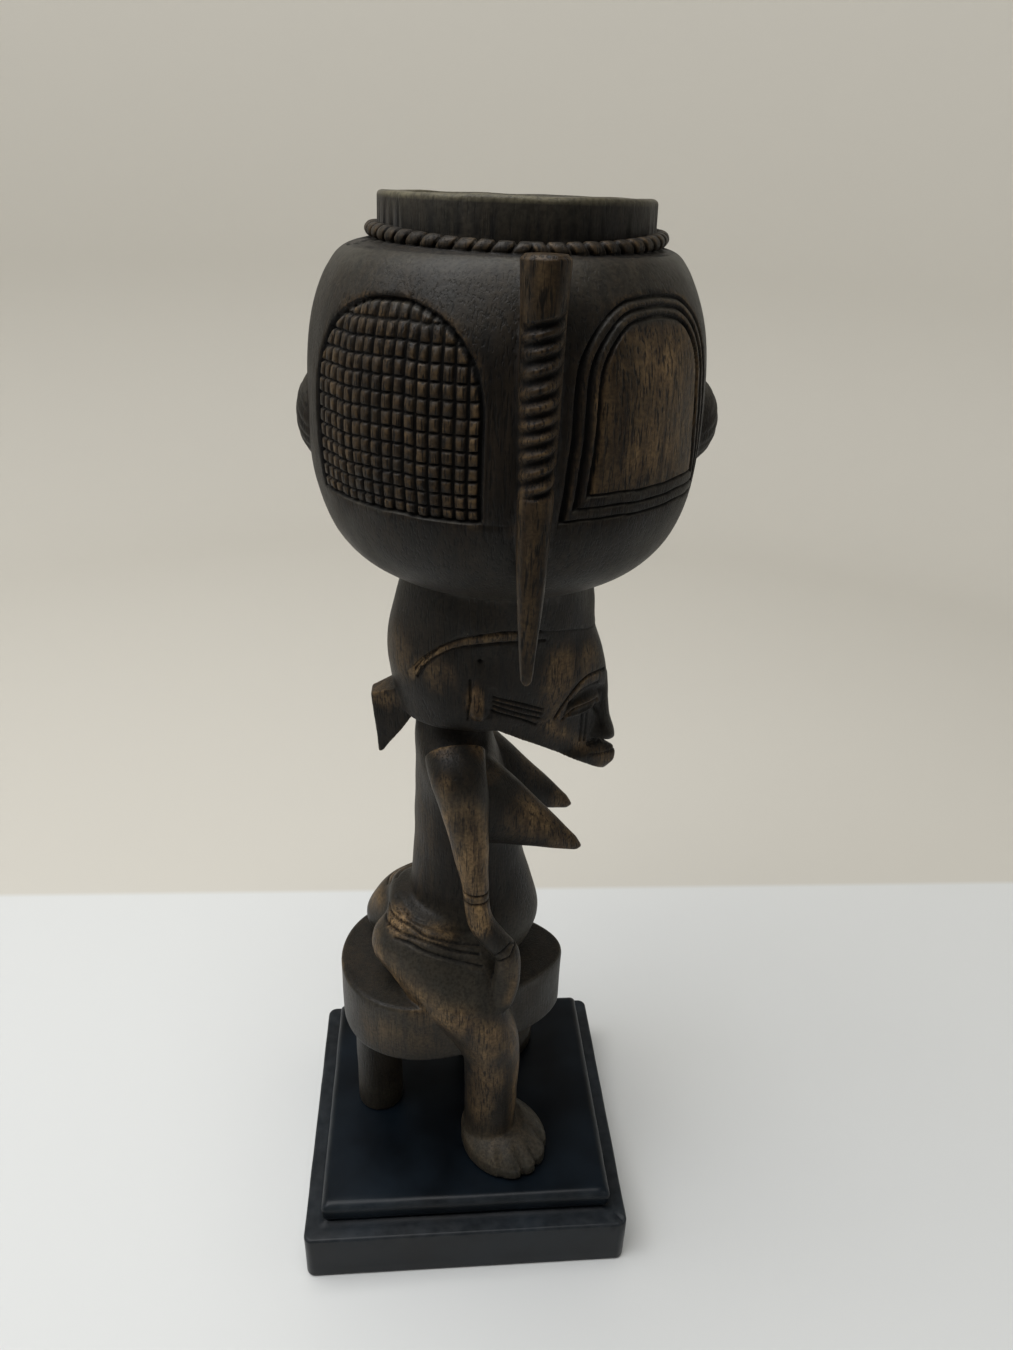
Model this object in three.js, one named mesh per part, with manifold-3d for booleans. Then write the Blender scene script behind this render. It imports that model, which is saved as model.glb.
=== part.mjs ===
// A carved wooden figure that sits on a round stool and carries an open vessel on its head.
// It stands on a stepped plinth.
// Millimetres, +Z up. The origin is the centre of the plinth's underside, and the figure faces +X.
// The figure's left and right halves mirror each other across the XZ plane.

import * as THREE from 'three';
import { mergeVertices } from 'three/addons/utils/BufferGeometryUtils.js';
import Module from 'manifold-3d';

const wasm = await Module();
wasm.setup();

// Colours and finishes
const darkWood = { color: 0x3a2f26, roughness: 0.55, metalness: 0 };
const blackLacquer = { color: 0x15181b, roughness: 0.3, metalness: 0 };

// Plinth: a lower slab, a narrow groove, and a smaller upper slab with a rounded edge
const plinthLength = 130;
const plinthWidth = 119;
const plinthCornerRadius = 3.5;
const lowerSlabHeight = 23.5;
const lowerEdgeRound = 1.2;
const ledgeWidth = 6.9;
const grooveDepth = 1.4;
const grooveHeight = 1.2;
const upperSlabHeight = 9.6;
const upperEdgeRound = 3.2;
const plinthTop = lowerSlabHeight + grooveHeight + upperSlabHeight;

// The figure's soles and its stool's leg stand this far above the plinth
const restGap = 0.3;
const soleLevel = plinthTop + restGap;

// Vessel: a round bowl with a low collar, turned about an upright axis
const vesselX = 9.8;
const bowlBottom = 286.5;
const bowlRadius = 60;
const collarDrift = 1.4;
const collarRadius = 39.3;
const rimLevel = 399.5;
const mouthRadius = 33.6;
const bowlFloor = 297;
const wallThickness = 6;
const lip = 1.2;
const vesselSides = 36;

// Cabled ring round the foot of the collar
const ringRadius = 40.4;
const ringLevel = 390;
const ringThickness = 2.6;
const ringStrands = 56;
const ringSpread = 2.2;
const ringSag = 2.3;

// Horns that hang at the vessel's sides, and bosses at its front and back
const hornX = 13.1;
const hornY = 59.2;
const hornTop = 388;
const hornTwistTop = 374;
const hornTwistBottom = 332;
const hornTip = 275.6;
const hornRadius = 5.7;
const hornTaperLength = 75;
const hornTipShare = 0.24;
const hornTwist = 0.1;
const hornWebWidth = 8.6;
const hornWebBottom = 338;
const hornWebRoot = 38;
const bossLevel = 338.6;
const frontBossReach = 66.3;
const backBossReach = 63.6;
const bossRoot = 53;
const bossHalfWidth = 13;
const bossHalfHeight = 15;

// Stool: a thick egg-shaped seat, narrower in front, on one round leg at the back
const seatX = -5.3;
const seatHalfLength = 45.6;
const seatHalfWidth = 31.5;
const seatTaper = 0.29;
const seatTop = 120;
const seatBottom = 91.7;
const seatEdgeRound = 1.6;
const seatSides = 36;
const stoolLegX = -37;
const stoolLegRadius = 9.8;

// Head: the straight underside of the jaw runs between these points of the profile
const jawFront = new THREE.Vector2(51, 209.2);
const jawBack = new THREE.Vector2(8.5, 236.5);
const skullUnderside = 239;
const cutSize = 120;

// Knot of hair at the nape
const knotTip = 218;
const knotTop = 243.2;
const knotTipHalfWidth = 1.4;
const knotTopHalfWidth = 3.6;
const knotSpread = 0.07;

// Breasts
const breastHalfWidth = 11.5;
const breastHalfHeight = 20;

// Feet
const footX = 16.4;
const footY = 28.4;
const footLength = 19.4;
const footWidth = 16.6;
const footTurn = THREE.MathUtils.degToRad(48);
const footHeight = 12.5;
const footLean = 4.5;
const toeCount = 5;
const toeDepth = 1.5;

// A closed solid from a geometry, with its shared vertices merged
function solidFrom(geometry) {
  geometry.deleteAttribute('normal');
  geometry.deleteAttribute('uv');
  const merged = mergeVertices(geometry, 1e-4);
  const mesh = new wasm.Mesh({
    numProp: 3,
    vertProperties: new Float32Array(merged.attributes.position.array),
    triVerts: new Uint32Array(merged.index.array),
  });
  mesh.merge();
  return new wasm.Manifold(mesh);
}

// The same solid on the figure's other side
function otherSide(solid) {
  return solid.mirror([0, 1, 0]);
}

// A closed skin whose points are pointAt(share along, angle round, share of the radius)
function skin(pointAt, sides, rings) {
  const geometry = new THREE.CylinderGeometry(1, 1, 1, sides, rings, false);
  const position = geometry.attributes.position;
  for (let i = 0; i < position.count; i += 1) {
    const x = position.getX(i);
    const z = position.getZ(i);
    const along = position.getY(i) + 0.5;
    const point = pointAt(along, Math.atan2(x, z), Math.hypot(x, z));
    position.setXYZ(i, point.x, point.y, point.z);
  }
  return solidFrom(geometry);
}

// A smooth course through points given as [x, y, z]
function curveThrough(points) {
  const corners = points.map(([x, y, z]) => new THREE.Vector3(x, y, z));
  return new THREE.CatmullRomCurve3(corners, false, 'catmullrom', 0.5);
}

// A smooth course of numbers, one column of a list of stations, read at a share from 0 to 1
function column(stations, k) {
  const curve = curveThrough(stations.map((station) => [station[k], 0, 0]));
  return (share) => curve.getPoint(share).x;
}

// A solid of level sections. Each station is [level, back x, front x, half width, front narrowing].
function levelForm(stations, sides, rings) {
  const [level, back, front, width, narrowing] = [0, 1, 2, 3, 4].map((k) => column(stations, k));
  return skin((along, angle, radius) => {
    const middle = (front(along) + back(along)) / 2;
    const reach = (front(along) - back(along)) / 2;
    const forward = Math.cos(angle);
    const half = width(along) * (1 - narrowing(along) * forward);
    const x = middle + radius * reach * forward;
    return new THREE.Vector3(x, radius * half * Math.sin(angle), level(along));
  }, sides, rings);
}

// A limb: sections square to a course in space. Each station is [x, y, z, half depth, half width].
function limb(stations, sides, rings) {
  const course = curveThrough(stations);
  const depth = column(stations, 3);
  const width = column(stations, 4);
  const sideways = new THREE.Vector3(0, 1, 0);
  return skin((along, angle, radius) => {
    const tangent = course.getTangent(along);
    const forward = new THREE.Vector3().crossVectors(sideways, tangent).normalize();
    const across = new THREE.Vector3().crossVectors(tangent, forward).normalize();
    return course.getPoint(along)
      .addScaledVector(forward, radius * depth(along) * Math.cos(angle))
      .addScaledVector(across, radius * width(along) * Math.sin(angle));
  }, sides, rings);
}

// An upright block with a rounded rectangle as its plan and rounded upper and lower edges
function slab(length, width, corner, bottom, height, edge) {
  const halfLength = length / 2 - edge;
  const halfWidth = width / 2 - edge;
  const round = Math.max(corner - edge, 0.6);
  const plan = new THREE.Shape();
  plan.absarc(halfLength - round, halfWidth - round, round, 0, Math.PI / 2);
  plan.absarc(-halfLength + round, halfWidth - round, round, Math.PI / 2, Math.PI);
  plan.absarc(-halfLength + round, -halfWidth + round, round, Math.PI, 1.5 * Math.PI);
  plan.absarc(halfLength - round, -halfWidth + round, round, 1.5 * Math.PI, 2 * Math.PI);
  const geometry = new THREE.ExtrudeGeometry(plan, {
    depth: height - 2 * edge,
    bevelThickness: edge,
    bevelSize: edge,
    bevelSegments: Math.round(edge),
    curveSegments: 2,
    steps: 1,
  });
  geometry.translate(0, 0, bottom + edge);
  return solidFrom(geometry);
}

function makePlinth() {
  const length = plinthLength - 2 * ledgeWidth;
  const width = plinthWidth - 2 * ledgeWidth;
  const corner = plinthCornerRadius;
  const upperBottom = lowerSlabHeight + grooveHeight;
  const overlap = 1;
  const lower = slab(plinthLength, plinthWidth, corner, 0, lowerSlabHeight, lowerEdgeRound);
  const neck = slab(
    length - 2 * grooveDepth,
    width - 2 * grooveDepth,
    corner - grooveDepth,
    lowerSlabHeight - overlap,
    grooveHeight + 2 * overlap,
    overlap / 4,
  );
  const upper = slab(length, width, corner, upperBottom, upperSlabHeight, upperEdgeRound);
  return lower.add(neck).add(upper);
}

// A section given as [radius, level], turned about the vessel's axis; the collar stands a little forward
function turned(section) {
  const profile = section.map(([radius, level]) => new THREE.Vector2(radius, level));
  const geometry = new THREE.LatheGeometry(profile, vesselSides);
  geometry.rotateX(Math.PI / 2);
  const position = geometry.attributes.position;
  for (let i = 0; i < position.count; i += 1) {
    const drift = collarDrift * THREE.MathUtils.smoothstep(position.getZ(i), 383, 391);
    position.setX(i, position.getX(i) + vesselX + drift);
  }
  return solidFrom(geometry);
}

// Points of a smooth section through hand-set ones
function sectionThrough(points, count) {
  const curve = curveThrough(points.map(([radius, level]) => [radius, level, 0]));
  return curve.getPoints(count).map((p) => [p.x, p.y]);
}

// The vessel's outside, as if it were solid, up to its rim
function makeVessel() {
  return turned([
    [0, bowlBottom],
    ...sectionThrough([
      [21, bowlBottom],
      [39, 293.6],
      [50, 301.6],
      [56.4, 313],
      [bowlRadius - 0.4, 330],
      [bowlRadius - 0.7, 353],
      [56, 371],
      [49, 384.4],
      [collarRadius, 388.4],
    ], 13),
    [collarRadius - 0.2, rimLevel - lip],
    [collarRadius - 0.2 - lip, rimLevel],
    [0, rimLevel],
  ]);
}

// The vessel's inside, which is taken out of it last
function makeHollow() {
  return turned([
    [0, bowlFloor],
    ...sectionThrough([
      [20, bowlFloor],
      [40, 304.5],
      [50.5, 319],
      [bowlRadius - wallThickness, 344],
      [50.5, 369],
      [43.5, 383],
      [mouthRadius, 390],
    ], 6),
    [mouthRadius, rimLevel - lip],
    [mouthRadius + lip, rimLevel + lip],
    [0, rimLevel + lip],
  ]);
}

// The cabled ring: its square section turns as it runs, so that the edges read as strands.
// It hangs lower and wider at the vessel's sides, and the strands lean away from there both ways.
function makeRing() {
  const geometry = new THREE.TorusGeometry(1, 0.5, 4, 2 * ringStrands);
  const position = geometry.attributes.position;
  for (let i = 0; i < position.count; i += 1) {
    const angle = Math.atan2(position.getY(i), position.getX(i));
    const out = Math.hypot(position.getX(i), position.getY(i)) - 1;
    const fromSide = Math.acos(-Math.sin(angle));
    const corner = Math.atan2(position.getZ(i), out) + ringStrands / 4 * fromSide;
    const atSide = Math.sin(angle) ** 2;
    const radius = ringRadius + ringSpread * atSide + ringThickness * Math.cos(corner);
    const level = ringLevel - ringSag * atSide + ringThickness * Math.sin(corner);
    position.setXYZ(i, radius * Math.cos(angle), radius * Math.sin(angle), level);
  }
  geometry.translate(vesselX + collarDrift, 0, 0);
  return solidFrom(geometry);
}

// A horn: flat on top, spirally grooved, then smooth down to its small tip.
// A web of wood behind its upper part joins it to the bowl.
function makeHorn() {
  const horn = skin((along, angle, radius) => {
    const level = THREE.MathUtils.lerp(hornTip, hornTop, along);
    const share = Math.min(1, (level - hornTip) / hornTaperLength);
    const taper = hornTipShare + (1 - hornTipShare) * share ** 0.8;
    const climb = THREE.MathUtils.clamp(level, hornTwistBottom, hornTwistTop) - hornTwistBottom;
    const turn = angle + hornTwist * climb;
    const size = radius * hornRadius * taper;
    return new THREE.Vector3(hornX + size * Math.cos(turn), -hornY + size * Math.sin(turn), level);
  }, 8, 14);
  const webDepth = hornY - hornWebRoot;
  const webHeight = hornTop - 1 - hornWebBottom;
  const web = new THREE.BoxGeometry(hornWebWidth, webDepth, webHeight);
  web.translate(hornX, -hornY + webDepth / 2, hornWebBottom + webHeight / 2);
  return horn.add(solidFrom(web));
}

// A boss: a low upright dome on the vessel's front or back
function makeBoss(direction, reach) {
  return skin((along, angle, radius) => {
    const size = radius * Math.cos(along * 0.45 * Math.PI);
    const out = bossRoot + (reach - bossRoot) * Math.sin(along * Math.PI / 2);
    return new THREE.Vector3(
      vesselX + direction * out,
      -direction * size * bossHalfWidth * Math.sin(angle),
      bossLevel + size * bossHalfHeight * Math.cos(angle),
    );
  }, 12, 4);
}

// The skull and face, cut off below along the jaw's straight underside and level behind it
function makeHead() {
  const skull = levelForm([
    [203, 20, 47, 6, 0.2],
    [208.5, 12, 50.6, 7.5, 0.3],
    [211.5, 6, 54, 8.6, 0.35],
    [217.5, -2, 53.3, 11.5, 0.4],
    [220.6, -8, 50, 12.8, 0.42],
    [223.2, -14, 49.6, 14, 0.44],
    [230, -20, 48.4, 16.5, 0.4],
    [238, -24, 47.4, 18.8, 0.36],
    [245, -26, 48.6, 20.4, 0.3],
    [252, -27.4, 48.4, 21.6, 0.25],
    [260, -28.2, 46.2, 22.6, 0.2],
    [270, -27.5, 42.7, 23.6, 0.12],
    [280, -25, 41.5, 25, 0.06],
    [290, -22, 40, 26, 0],
  ], 18, 13);
  const slope = (jawFront.y - jawBack.y) / (jawFront.x - jawBack.x);
  const below = new THREE.Shape([
    new THREE.Vector2(-cutSize, skullUnderside),
    jawBack,
    new THREE.Vector2(cutSize, jawBack.y + slope * (cutSize - jawBack.x)),
    new THREE.Vector2(-cutSize, jawFront.y - cutSize),
  ]);
  const cut = new THREE.ExtrudeGeometry(below, { depth: cutSize, bevelEnabled: false, steps: 1 });
  cut.rotateX(Math.PI / 2);
  cut.translate(0, cutSize / 2, 0);
  return skull.subtract(solidFrom(cut));
}

// The nose: a narrow ridge from the brow that widens to the nostrils
function makeNose() {
  return skin((along, angle, radius) => {
    const size = radius * (1 - 0.45 * along);
    const depth = Math.cos(angle) < 0 ? 8 : 5.5;
    return new THREE.Vector3(
      47.1 - 4.2 * along + size * depth * Math.cos(angle),
      size * 5.4 * Math.sin(angle),
      223.4 + 22 * along,
    );
  }, 10, 4);
}

// The ear: a short upright lobe, fuller at its foot
function makeEar() {
  return skin((along, angle, radius) => {
    const size = radius * (1 - 0.45 * along);
    return new THREE.Vector3(
      2 - 1.4 * along + 2.9 * size * Math.cos(angle),
      -21 + 2.6 * size * Math.sin(angle),
      243 + 14 * along,
    );
  }, 8, 3);
}

// The knot of hair at the nape: a wedge with flat faces that narrows to its tip below
function makeKnot() {
  const side = new THREE.Shape([
    new THREE.Vector2(-14, 250),
    new THREE.Vector2(-26, 246.4),
    new THREE.Vector2(-34.6, knotTop),
    new THREE.Vector2(-34, 236),
    new THREE.Vector2(-32.6, knotTip),
    new THREE.Vector2(-31, knotTip + 0.3),
    new THREE.Vector2(-19.6, 236),
    new THREE.Vector2(-14, 242),
  ]);
  const geometry = new THREE.ExtrudeGeometry(side, { depth: 2, bevelEnabled: false, steps: 1 });
  geometry.rotateX(Math.PI / 2);
  geometry.translate(0, 1, 0);
  const position = geometry.attributes.position;
  for (let i = 0; i < position.count; i += 1) {
    const rise = (position.getZ(i) - knotTip) / (knotTop - knotTip);
    const spread = 1 + knotSpread * (position.getX(i) + 34);
    const half = spread * THREE.MathUtils.lerp(knotTipHalfWidth, knotTopHalfWidth, rise);
    position.setY(i, position.getY(i) * half);
  }
  return solidFrom(geometry);
}

// Neck, chest and belly in one, down into the seat
function makeTrunk() {
  return levelForm([
    [110, -14, 16, 12, 0],
    [124, -20, 22, 16, 0],
    [134, -22, 27.7, 17, 0],
    [142, -22.8, 29.4, 17.5, 0],
    [149, -22.5, 29.1, 17.5, 0],
    [160, -21.6, 25.3, 17, 0],
    [170, -20.8, 22.6, 16.6, 0],
    [185, -20, 19.5, 17, 0],
    [200, -19.7, 16, 18.2, 0],
    [213, -19.4, 12.5, 20.5, 0],
    [222, -19.3, 9.6, 20.5, 0],
    [228, -19.2, 8.4, 15, 0],
    [234, -19, 8, 12.6, 0],
    [246, -18, 8, 12, 0],
  ], 16, 12);
}

// A pointed breast: straight above, nearly level below
function makeBreast() {
  const root = new THREE.Vector3(4, -11.5, 205.6);
  const tip = new THREE.Vector3(42.6, -13.5, 182.5);
  return skin((along, angle, radius) => {
    const size = radius * (1 - 0.96 * along);
    const point = new THREE.Vector3().lerpVectors(root, tip, along);
    point.y -= size * breastHalfWidth * Math.sin(angle);
    point.z += size * breastHalfHeight * Math.cos(angle);
    return point;
  }, 12, 3);
}

// An arm: a broad shoulder, a thin elbow, and a flat hand laid on the thigh
function makeArm() {
  return limb([
    [-5.5, -16, 226, 10.6, 8],
    [-4.7, -22.5, 221, 10, 7.6],
    [-2.4, -25, 211, 8.6, 6.6],
    [-0.5, -26.5, 196, 6.9, 5.8],
    [1.7, -27.5, 180, 5.1, 5],
    [2.4, -28, 170, 4.7, 4.6],
    [4.4, -28.4, 160.5, 5, 4.5],
    [9.4, -28.8, 152, 4.9, 4.3],
    [14.4, -29.4, 144.5, 4.7, 3.8],
    [14.4, -30.4, 132, 5.2, 3],
    [12.8, -31, 122, 4.4, 2.6],
    [11.8, -31, 117, 2.6, 1.8],
  ], 8, 14);
}

// A leg: a heavy thigh that folds over the seat's side, and a short straight shin
function makeLeg() {
  return limb([
    [-28, -11, 143, 7, 6],
    [-22, -14, 139.5, 15, 11.5],
    [-13, -19, 131.5, 17.2, 13.3],
    [-2, -25, 119, 15.5, 12.8],
    [6, -26.5, 105, 13.2, 11.8],
    [10, -26.5, 90, 11.6, 10.8],
    [10.4, -26, 70, 11, 10],
    [10.4, -25.6, 50, 11, 10.2],
    [10.4, -25.6, 40, 11.6, 10.6],
  ], 12, 11);
}

function makeButtock() {
  const geometry = new THREE.SphereGeometry(1, 12, 9);
  geometry.scale(21, 15, 15);
  geometry.translate(-17, -11.5, 137);
  return solidFrom(geometry);
}

// A round foot, turned outwards, with its toes fanned along the edge
function makeFoot() {
  const upright = new THREE.Vector3(0, 0, 1);
  const middle = new THREE.Vector3(footX, -footY, soleLevel);
  return skin((along, angle, radius) => {
    const rise = Math.max(0, 2 * along - 1);
    const outline = 1 - 0.36 * rise ** 1.6;
    const notch = 0.5 + 0.5 * Math.cos(2 * toeCount * angle);
    const toes = toeDepth * (1 - rise) * notch * Math.sqrt(Math.max(0, Math.cos(angle)));
    const ahead = radius * (footLength * outline - toes) * Math.cos(angle) - footLean * rise;
    const aside = radius * footWidth * outline * Math.sin(angle);
    const point = new THREE.Vector3(ahead, aside, footHeight * along);
    return point.applyAxisAngle(upright, -footTurn).add(middle);
  }, 30, 3);
}

// The stool: the egg-shaped seat and its one leg
function makeStool() {
  const outline = [];
  for (let i = 0; i < seatSides; i += 1) {
    const turn = 2 * Math.PI * i / seatSides;
    const half = seatHalfWidth * Math.sin(turn) * (1 - seatTaper * Math.cos(turn));
    outline.push(new THREE.Vector2(seatX + seatHalfLength * Math.cos(turn), half));
  }
  const seat = new THREE.ExtrudeGeometry(new THREE.Shape(outline), {
    depth: seatTop - seatBottom - 2 * seatEdgeRound,
    bevelThickness: seatEdgeRound,
    bevelSize: seatEdgeRound,
    bevelOffset: -seatEdgeRound,
    bevelSegments: 1,
    steps: 1,
  });
  seat.translate(0, 0, seatBottom + seatEdgeRound);
  const legHeight = seatBottom + 4 - soleLevel;
  const leg = new THREE.CylinderGeometry(stoolLegRadius, stoolLegRadius, legHeight, 18);
  leg.rotateX(Math.PI / 2);
  leg.translate(stoolLegX, 0, soleLevel + legHeight / 2);
  return solidFrom(seat).add(solidFrom(leg));
}

function makeFigure() {
  const bosses = [makeBoss(1, frontBossReach), makeBoss(-1, backBossReach)];
  const middle = [makeRing(), ...bosses, makeHead(), makeNose(), makeKnot(), makeTrunk(), makeStool()];
  const oneSide = [makeHorn(), makeEar(), makeBreast(), makeArm(), makeLeg(), makeButtock(), makeFoot()];
  let figure = makeVessel();
  for (const solid of [...middle, ...oneSide, ...oneSide.map(otherSide)]) {
    figure = figure.add(solid);
  }
  return figure.subtract(makeHollow());
}

function meshOf(solid, name, finish) {
  const data = solid.getMesh();
  const geometry = new THREE.BufferGeometry();
  geometry.setAttribute('position', new THREE.BufferAttribute(new Float32Array(data.vertProperties), 3));
  geometry.setIndex(new THREE.BufferAttribute(new Uint32Array(data.triVerts), 1));
  geometry.computeVertexNormals();
  const mesh = new THREE.Mesh(geometry, new THREE.MeshStandardMaterial(finish));
  mesh.name = name;
  return mesh;
}

const group = new THREE.Group();
group.add(meshOf(makeFigure(), 'figure', darkWood));
group.add(meshOf(makePlinth(), 'plinth', blackLacquer));

export default group;
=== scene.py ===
import math

import bpy
import numpy as np
from mathutils import Matrix


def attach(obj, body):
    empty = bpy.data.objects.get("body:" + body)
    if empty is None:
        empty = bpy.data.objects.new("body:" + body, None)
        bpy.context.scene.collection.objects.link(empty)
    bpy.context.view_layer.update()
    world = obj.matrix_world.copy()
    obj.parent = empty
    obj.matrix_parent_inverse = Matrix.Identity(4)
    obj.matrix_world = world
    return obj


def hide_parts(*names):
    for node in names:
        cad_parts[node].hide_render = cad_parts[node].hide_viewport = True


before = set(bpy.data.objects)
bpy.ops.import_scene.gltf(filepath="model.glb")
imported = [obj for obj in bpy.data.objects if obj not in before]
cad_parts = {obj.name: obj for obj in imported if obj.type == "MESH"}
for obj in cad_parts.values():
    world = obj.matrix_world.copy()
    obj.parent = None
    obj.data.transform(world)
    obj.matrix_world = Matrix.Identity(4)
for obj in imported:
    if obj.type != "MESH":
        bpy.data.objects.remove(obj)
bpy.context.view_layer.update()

# Shapes are worked out in millimetres, in the frame's own axes, and become metres as meshes are made.
millimetre = 0.001


def linear(hexText):
    parts = [int(hexText[i:i + 2], 16) / 255 for i in (1, 3, 5)]
    return [p / 12.92 if p <= 0.04045 else ((p + 0.055) / 1.055) ** 2.4 for p in parts] + [1.0]


def smoothstep(value, low, high):
    share = np.clip((np.asarray(value, float) - low) / (high - low), 0, 1)
    return share * share * (3 - 2 * share)


def curveThrough(points, shares):
    # a smooth course through the points, read at shares from 0 to 1
    points = np.asarray(points, float)
    if points.ndim == 1:
        points = points[:, None]
    ends = [2 * points[0] - points[1]], [2 * points[-1] - points[-2]]
    padded = np.concatenate([ends[0], points, ends[1]])
    place = np.clip(np.asarray(shares, float), 0, 1) * (len(points) - 1)
    start = np.minimum(place.astype(int), len(points) - 2)
    t = (place - start)[:, None]
    a, b, c, d = (padded[start + k] for k in range(4))
    square, cube = 2 * a - 5 * b + 4 * c - d, 3 * b - a - 3 * c + d
    return 0.5 * (2 * b + (c - a) * t + square * t ** 2 + cube * t ** 3)


def fullTurn(count, start=0):
    # angles evenly round a circle, in radians, from a start in degrees
    return np.radians(np.linspace(start, start + 360, count, endpoint=False))


def ringsOf(count, sides, start=0):
    # shares from 0 to 1 in a column, and angles round a circle in a row
    return np.linspace(0, 1, count)[:, None], fullTurn(sides, start)[None, :]


def evenly(points, step):
    # the same line with points about one step apart
    points = np.asarray(points, float)
    run = np.concatenate([[0], np.cumsum(np.linalg.norm(np.diff(points, axis=0), axis=1))])
    count = max(2, int(run[-1] / step) + 1)
    at = np.linspace(0, run[-1], count)
    return np.stack([np.interp(at, run, points[:, k]) for k in range(points.shape[1])], 1)


def ripple(points, size, seed, waves=14):
    # a smooth random field of about -1 to 1 whose bumps are about one size across
    random = np.random.default_rng(seed)
    total = np.zeros(len(points))
    for _ in range(waves):
        direction = random.normal(size=3)
        direction *= 2 * math.pi / (size * 2) * random.uniform(0.6, 1.4) / np.linalg.norm(direction)
        total += np.sin(points @ direction + random.uniform(0, 2 * math.pi))
    return total / math.sqrt(waves / 2) / 1.6


def scatter(a, b, seed=0.0):
    # an even random number from 0 to 1 for each pair of whole numbers
    value = np.sin(a * 12.9898 + b * 78.233 + seed * 37.719) * 43758.5453
    return value - np.floor(value)


def newThing(name, data):
    thing = bpy.data.objects.new(name, data)
    bpy.context.collection.objects.link(thing)
    return thing


def meshFrom(name, points, faces):
    mesh = bpy.data.meshes.new(name)
    mesh.vertices.add(len(points))
    mesh.vertices.foreach_set("co", np.ascontiguousarray(points * millimetre, np.float32).ravel())
    mesh.loops.add(faces.size)
    mesh.loops.foreach_set("vertex_index", np.ascontiguousarray(faces, np.int32).ravel())
    mesh.polygons.add(len(faces))
    mesh.polygons.foreach_set("loop_start", np.arange(0, faces.size, faces.shape[1], dtype=np.int32))
    mesh.update(calc_edges=True)
    return newThing(name, mesh)


def outward(points, faces):
    a, b, c = (points[faces[:, k]] for k in range(3))
    return faces if np.einsum("ij,ij->i", a, np.cross(b, c)).sum() > 0 else faces[:, ::-1]


def cornersOf(i, j, nextI, nextJ, sides):
    # the vertex numbers at the four corners of each patch of a grid
    return [x.ravel() for x in (i * sides + j, i * sides + nextJ, nextI * sides + nextJ, nextI * sides + j)]


def closedSkin(name, rows):
    # rows[i, j] runs round section i; the first and last sections are closed to their middles
    count, sides = rows.shape[:2]
    points = np.concatenate([rows.reshape(-1, 3), rows[:1].mean(1), rows[-1:].mean(1)])
    i, j = np.meshgrid(np.arange(count - 1), np.arange(sides), indexing="ij")
    a, b, c, d = cornersOf(i, j, i + 1, (j + 1) % sides, sides)
    around = np.arange(sides)
    after = (around + 1) % sides
    low, high = count * sides, count * sides + 1
    lastRow = (count - 1) * sides
    faces = np.concatenate([
        np.stack([a, b, c], 1),
        np.stack([a, c, d], 1),
        np.stack([np.full(sides, low), after, around], 1),
        np.stack([np.full(sides, high), lastRow + around, lastRow + after], 1),
    ])
    return meshFrom(name, points, outward(points, faces))


def mirrored(thing):
    mesh = thing.data.copy()
    other = newThing(thing.name + "_far", mesh)
    mesh.transform(Matrix.Scale(-1, 4, (0, 1, 0)))
    mesh.flip_normals()
    return other


def remove(thing):
    mesh = thing.data
    bpy.data.objects.remove(thing)
    bpy.data.meshes.remove(mesh)


def joined(name, things):
    points, faces, start = [], [], 0
    for thing in things:
        p, f = arraysOf(thing)
        points.append(p)
        faces.append(f + start)
        start += len(p)
        remove(thing)
    return meshFrom(name, np.concatenate(points), np.concatenate(faces))


def listOf(items, key, width, kind=np.float32):
    values = np.empty(len(items) * width, kind)
    items.foreach_get(key, values)
    return values.reshape(-1, width)


def arraysOf(thing):
    # vertices in millimetres, and triangles
    mesh = thing.data
    mesh.calc_loop_triangles()
    points = listOf(mesh.vertices, "co", 3).astype(float) / millimetre
    return points, listOf(mesh.loop_triangles, "vertices", 3, np.int32)


def normalsOf(thing):
    return listOf(thing.data.vertex_normals, "vector", 3).astype(float)


def edgesOf(thing):
    return listOf(thing.data.edges, "vertices", 2, np.int32)


def setPoints(thing, points):
    thing.data.vertices.foreach_set("co", np.ascontiguousarray(points * millimetre, np.float32).ravel())
    thing.data.update()


def applied(thing, kind, **settings):
    modifier = thing.modifiers.new("step", kind)
    for key, value in settings.items():
        setattr(modifier, key, value)
    shown = thing.evaluated_get(bpy.context.evaluated_depsgraph_get())
    mesh = bpy.data.meshes.new_from_object(shown)
    thing.modifiers.clear()
    old = thing.data
    thing.data = mesh
    bpy.data.meshes.remove(old)
    return thing


def combined(thing, other, operation):
    applied(thing, "BOOLEAN", object=other, operation=operation, solver="MANIFOLD")
    remove(other)
    return thing


def averaged(values, edges, count, times):
    # each vertex takes the mean of itself and its neighbours
    first, second = edges.T
    shares = np.bincount(edges.ravel(), minlength=count) + 1
    for _ in range(times):
        ahead = np.bincount(first, values[second], count)
        values = (values + ahead + np.bincount(second, values[first], count)) / shares
    return values


def softened(points, edges, times):
    return np.stack([averaged(points[:, k], edges, len(points), times) for k in range(3)], 1)


def setAttribute(thing, name, values):
    layer = thing.data.attributes.new(name, "FLOAT", "POINT")
    layer.data.foreach_set("value", np.ascontiguousarray(np.clip(values, 0, 1), np.float32))


def lineDistance(points, line):
    # the distance of 2-D points from a line of 2-D points
    line = np.asarray(line, float)
    best = np.full(len(points), 1e9)
    for a, b in zip(line[:-1], line[1:]):
        along = b - a
        share = np.clip(((points - a) @ along) / (along @ along), 0, 1)
        best = np.minimum(best, np.linalg.norm(points - a - share[:, None] * along, axis=1))
    return best


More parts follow.
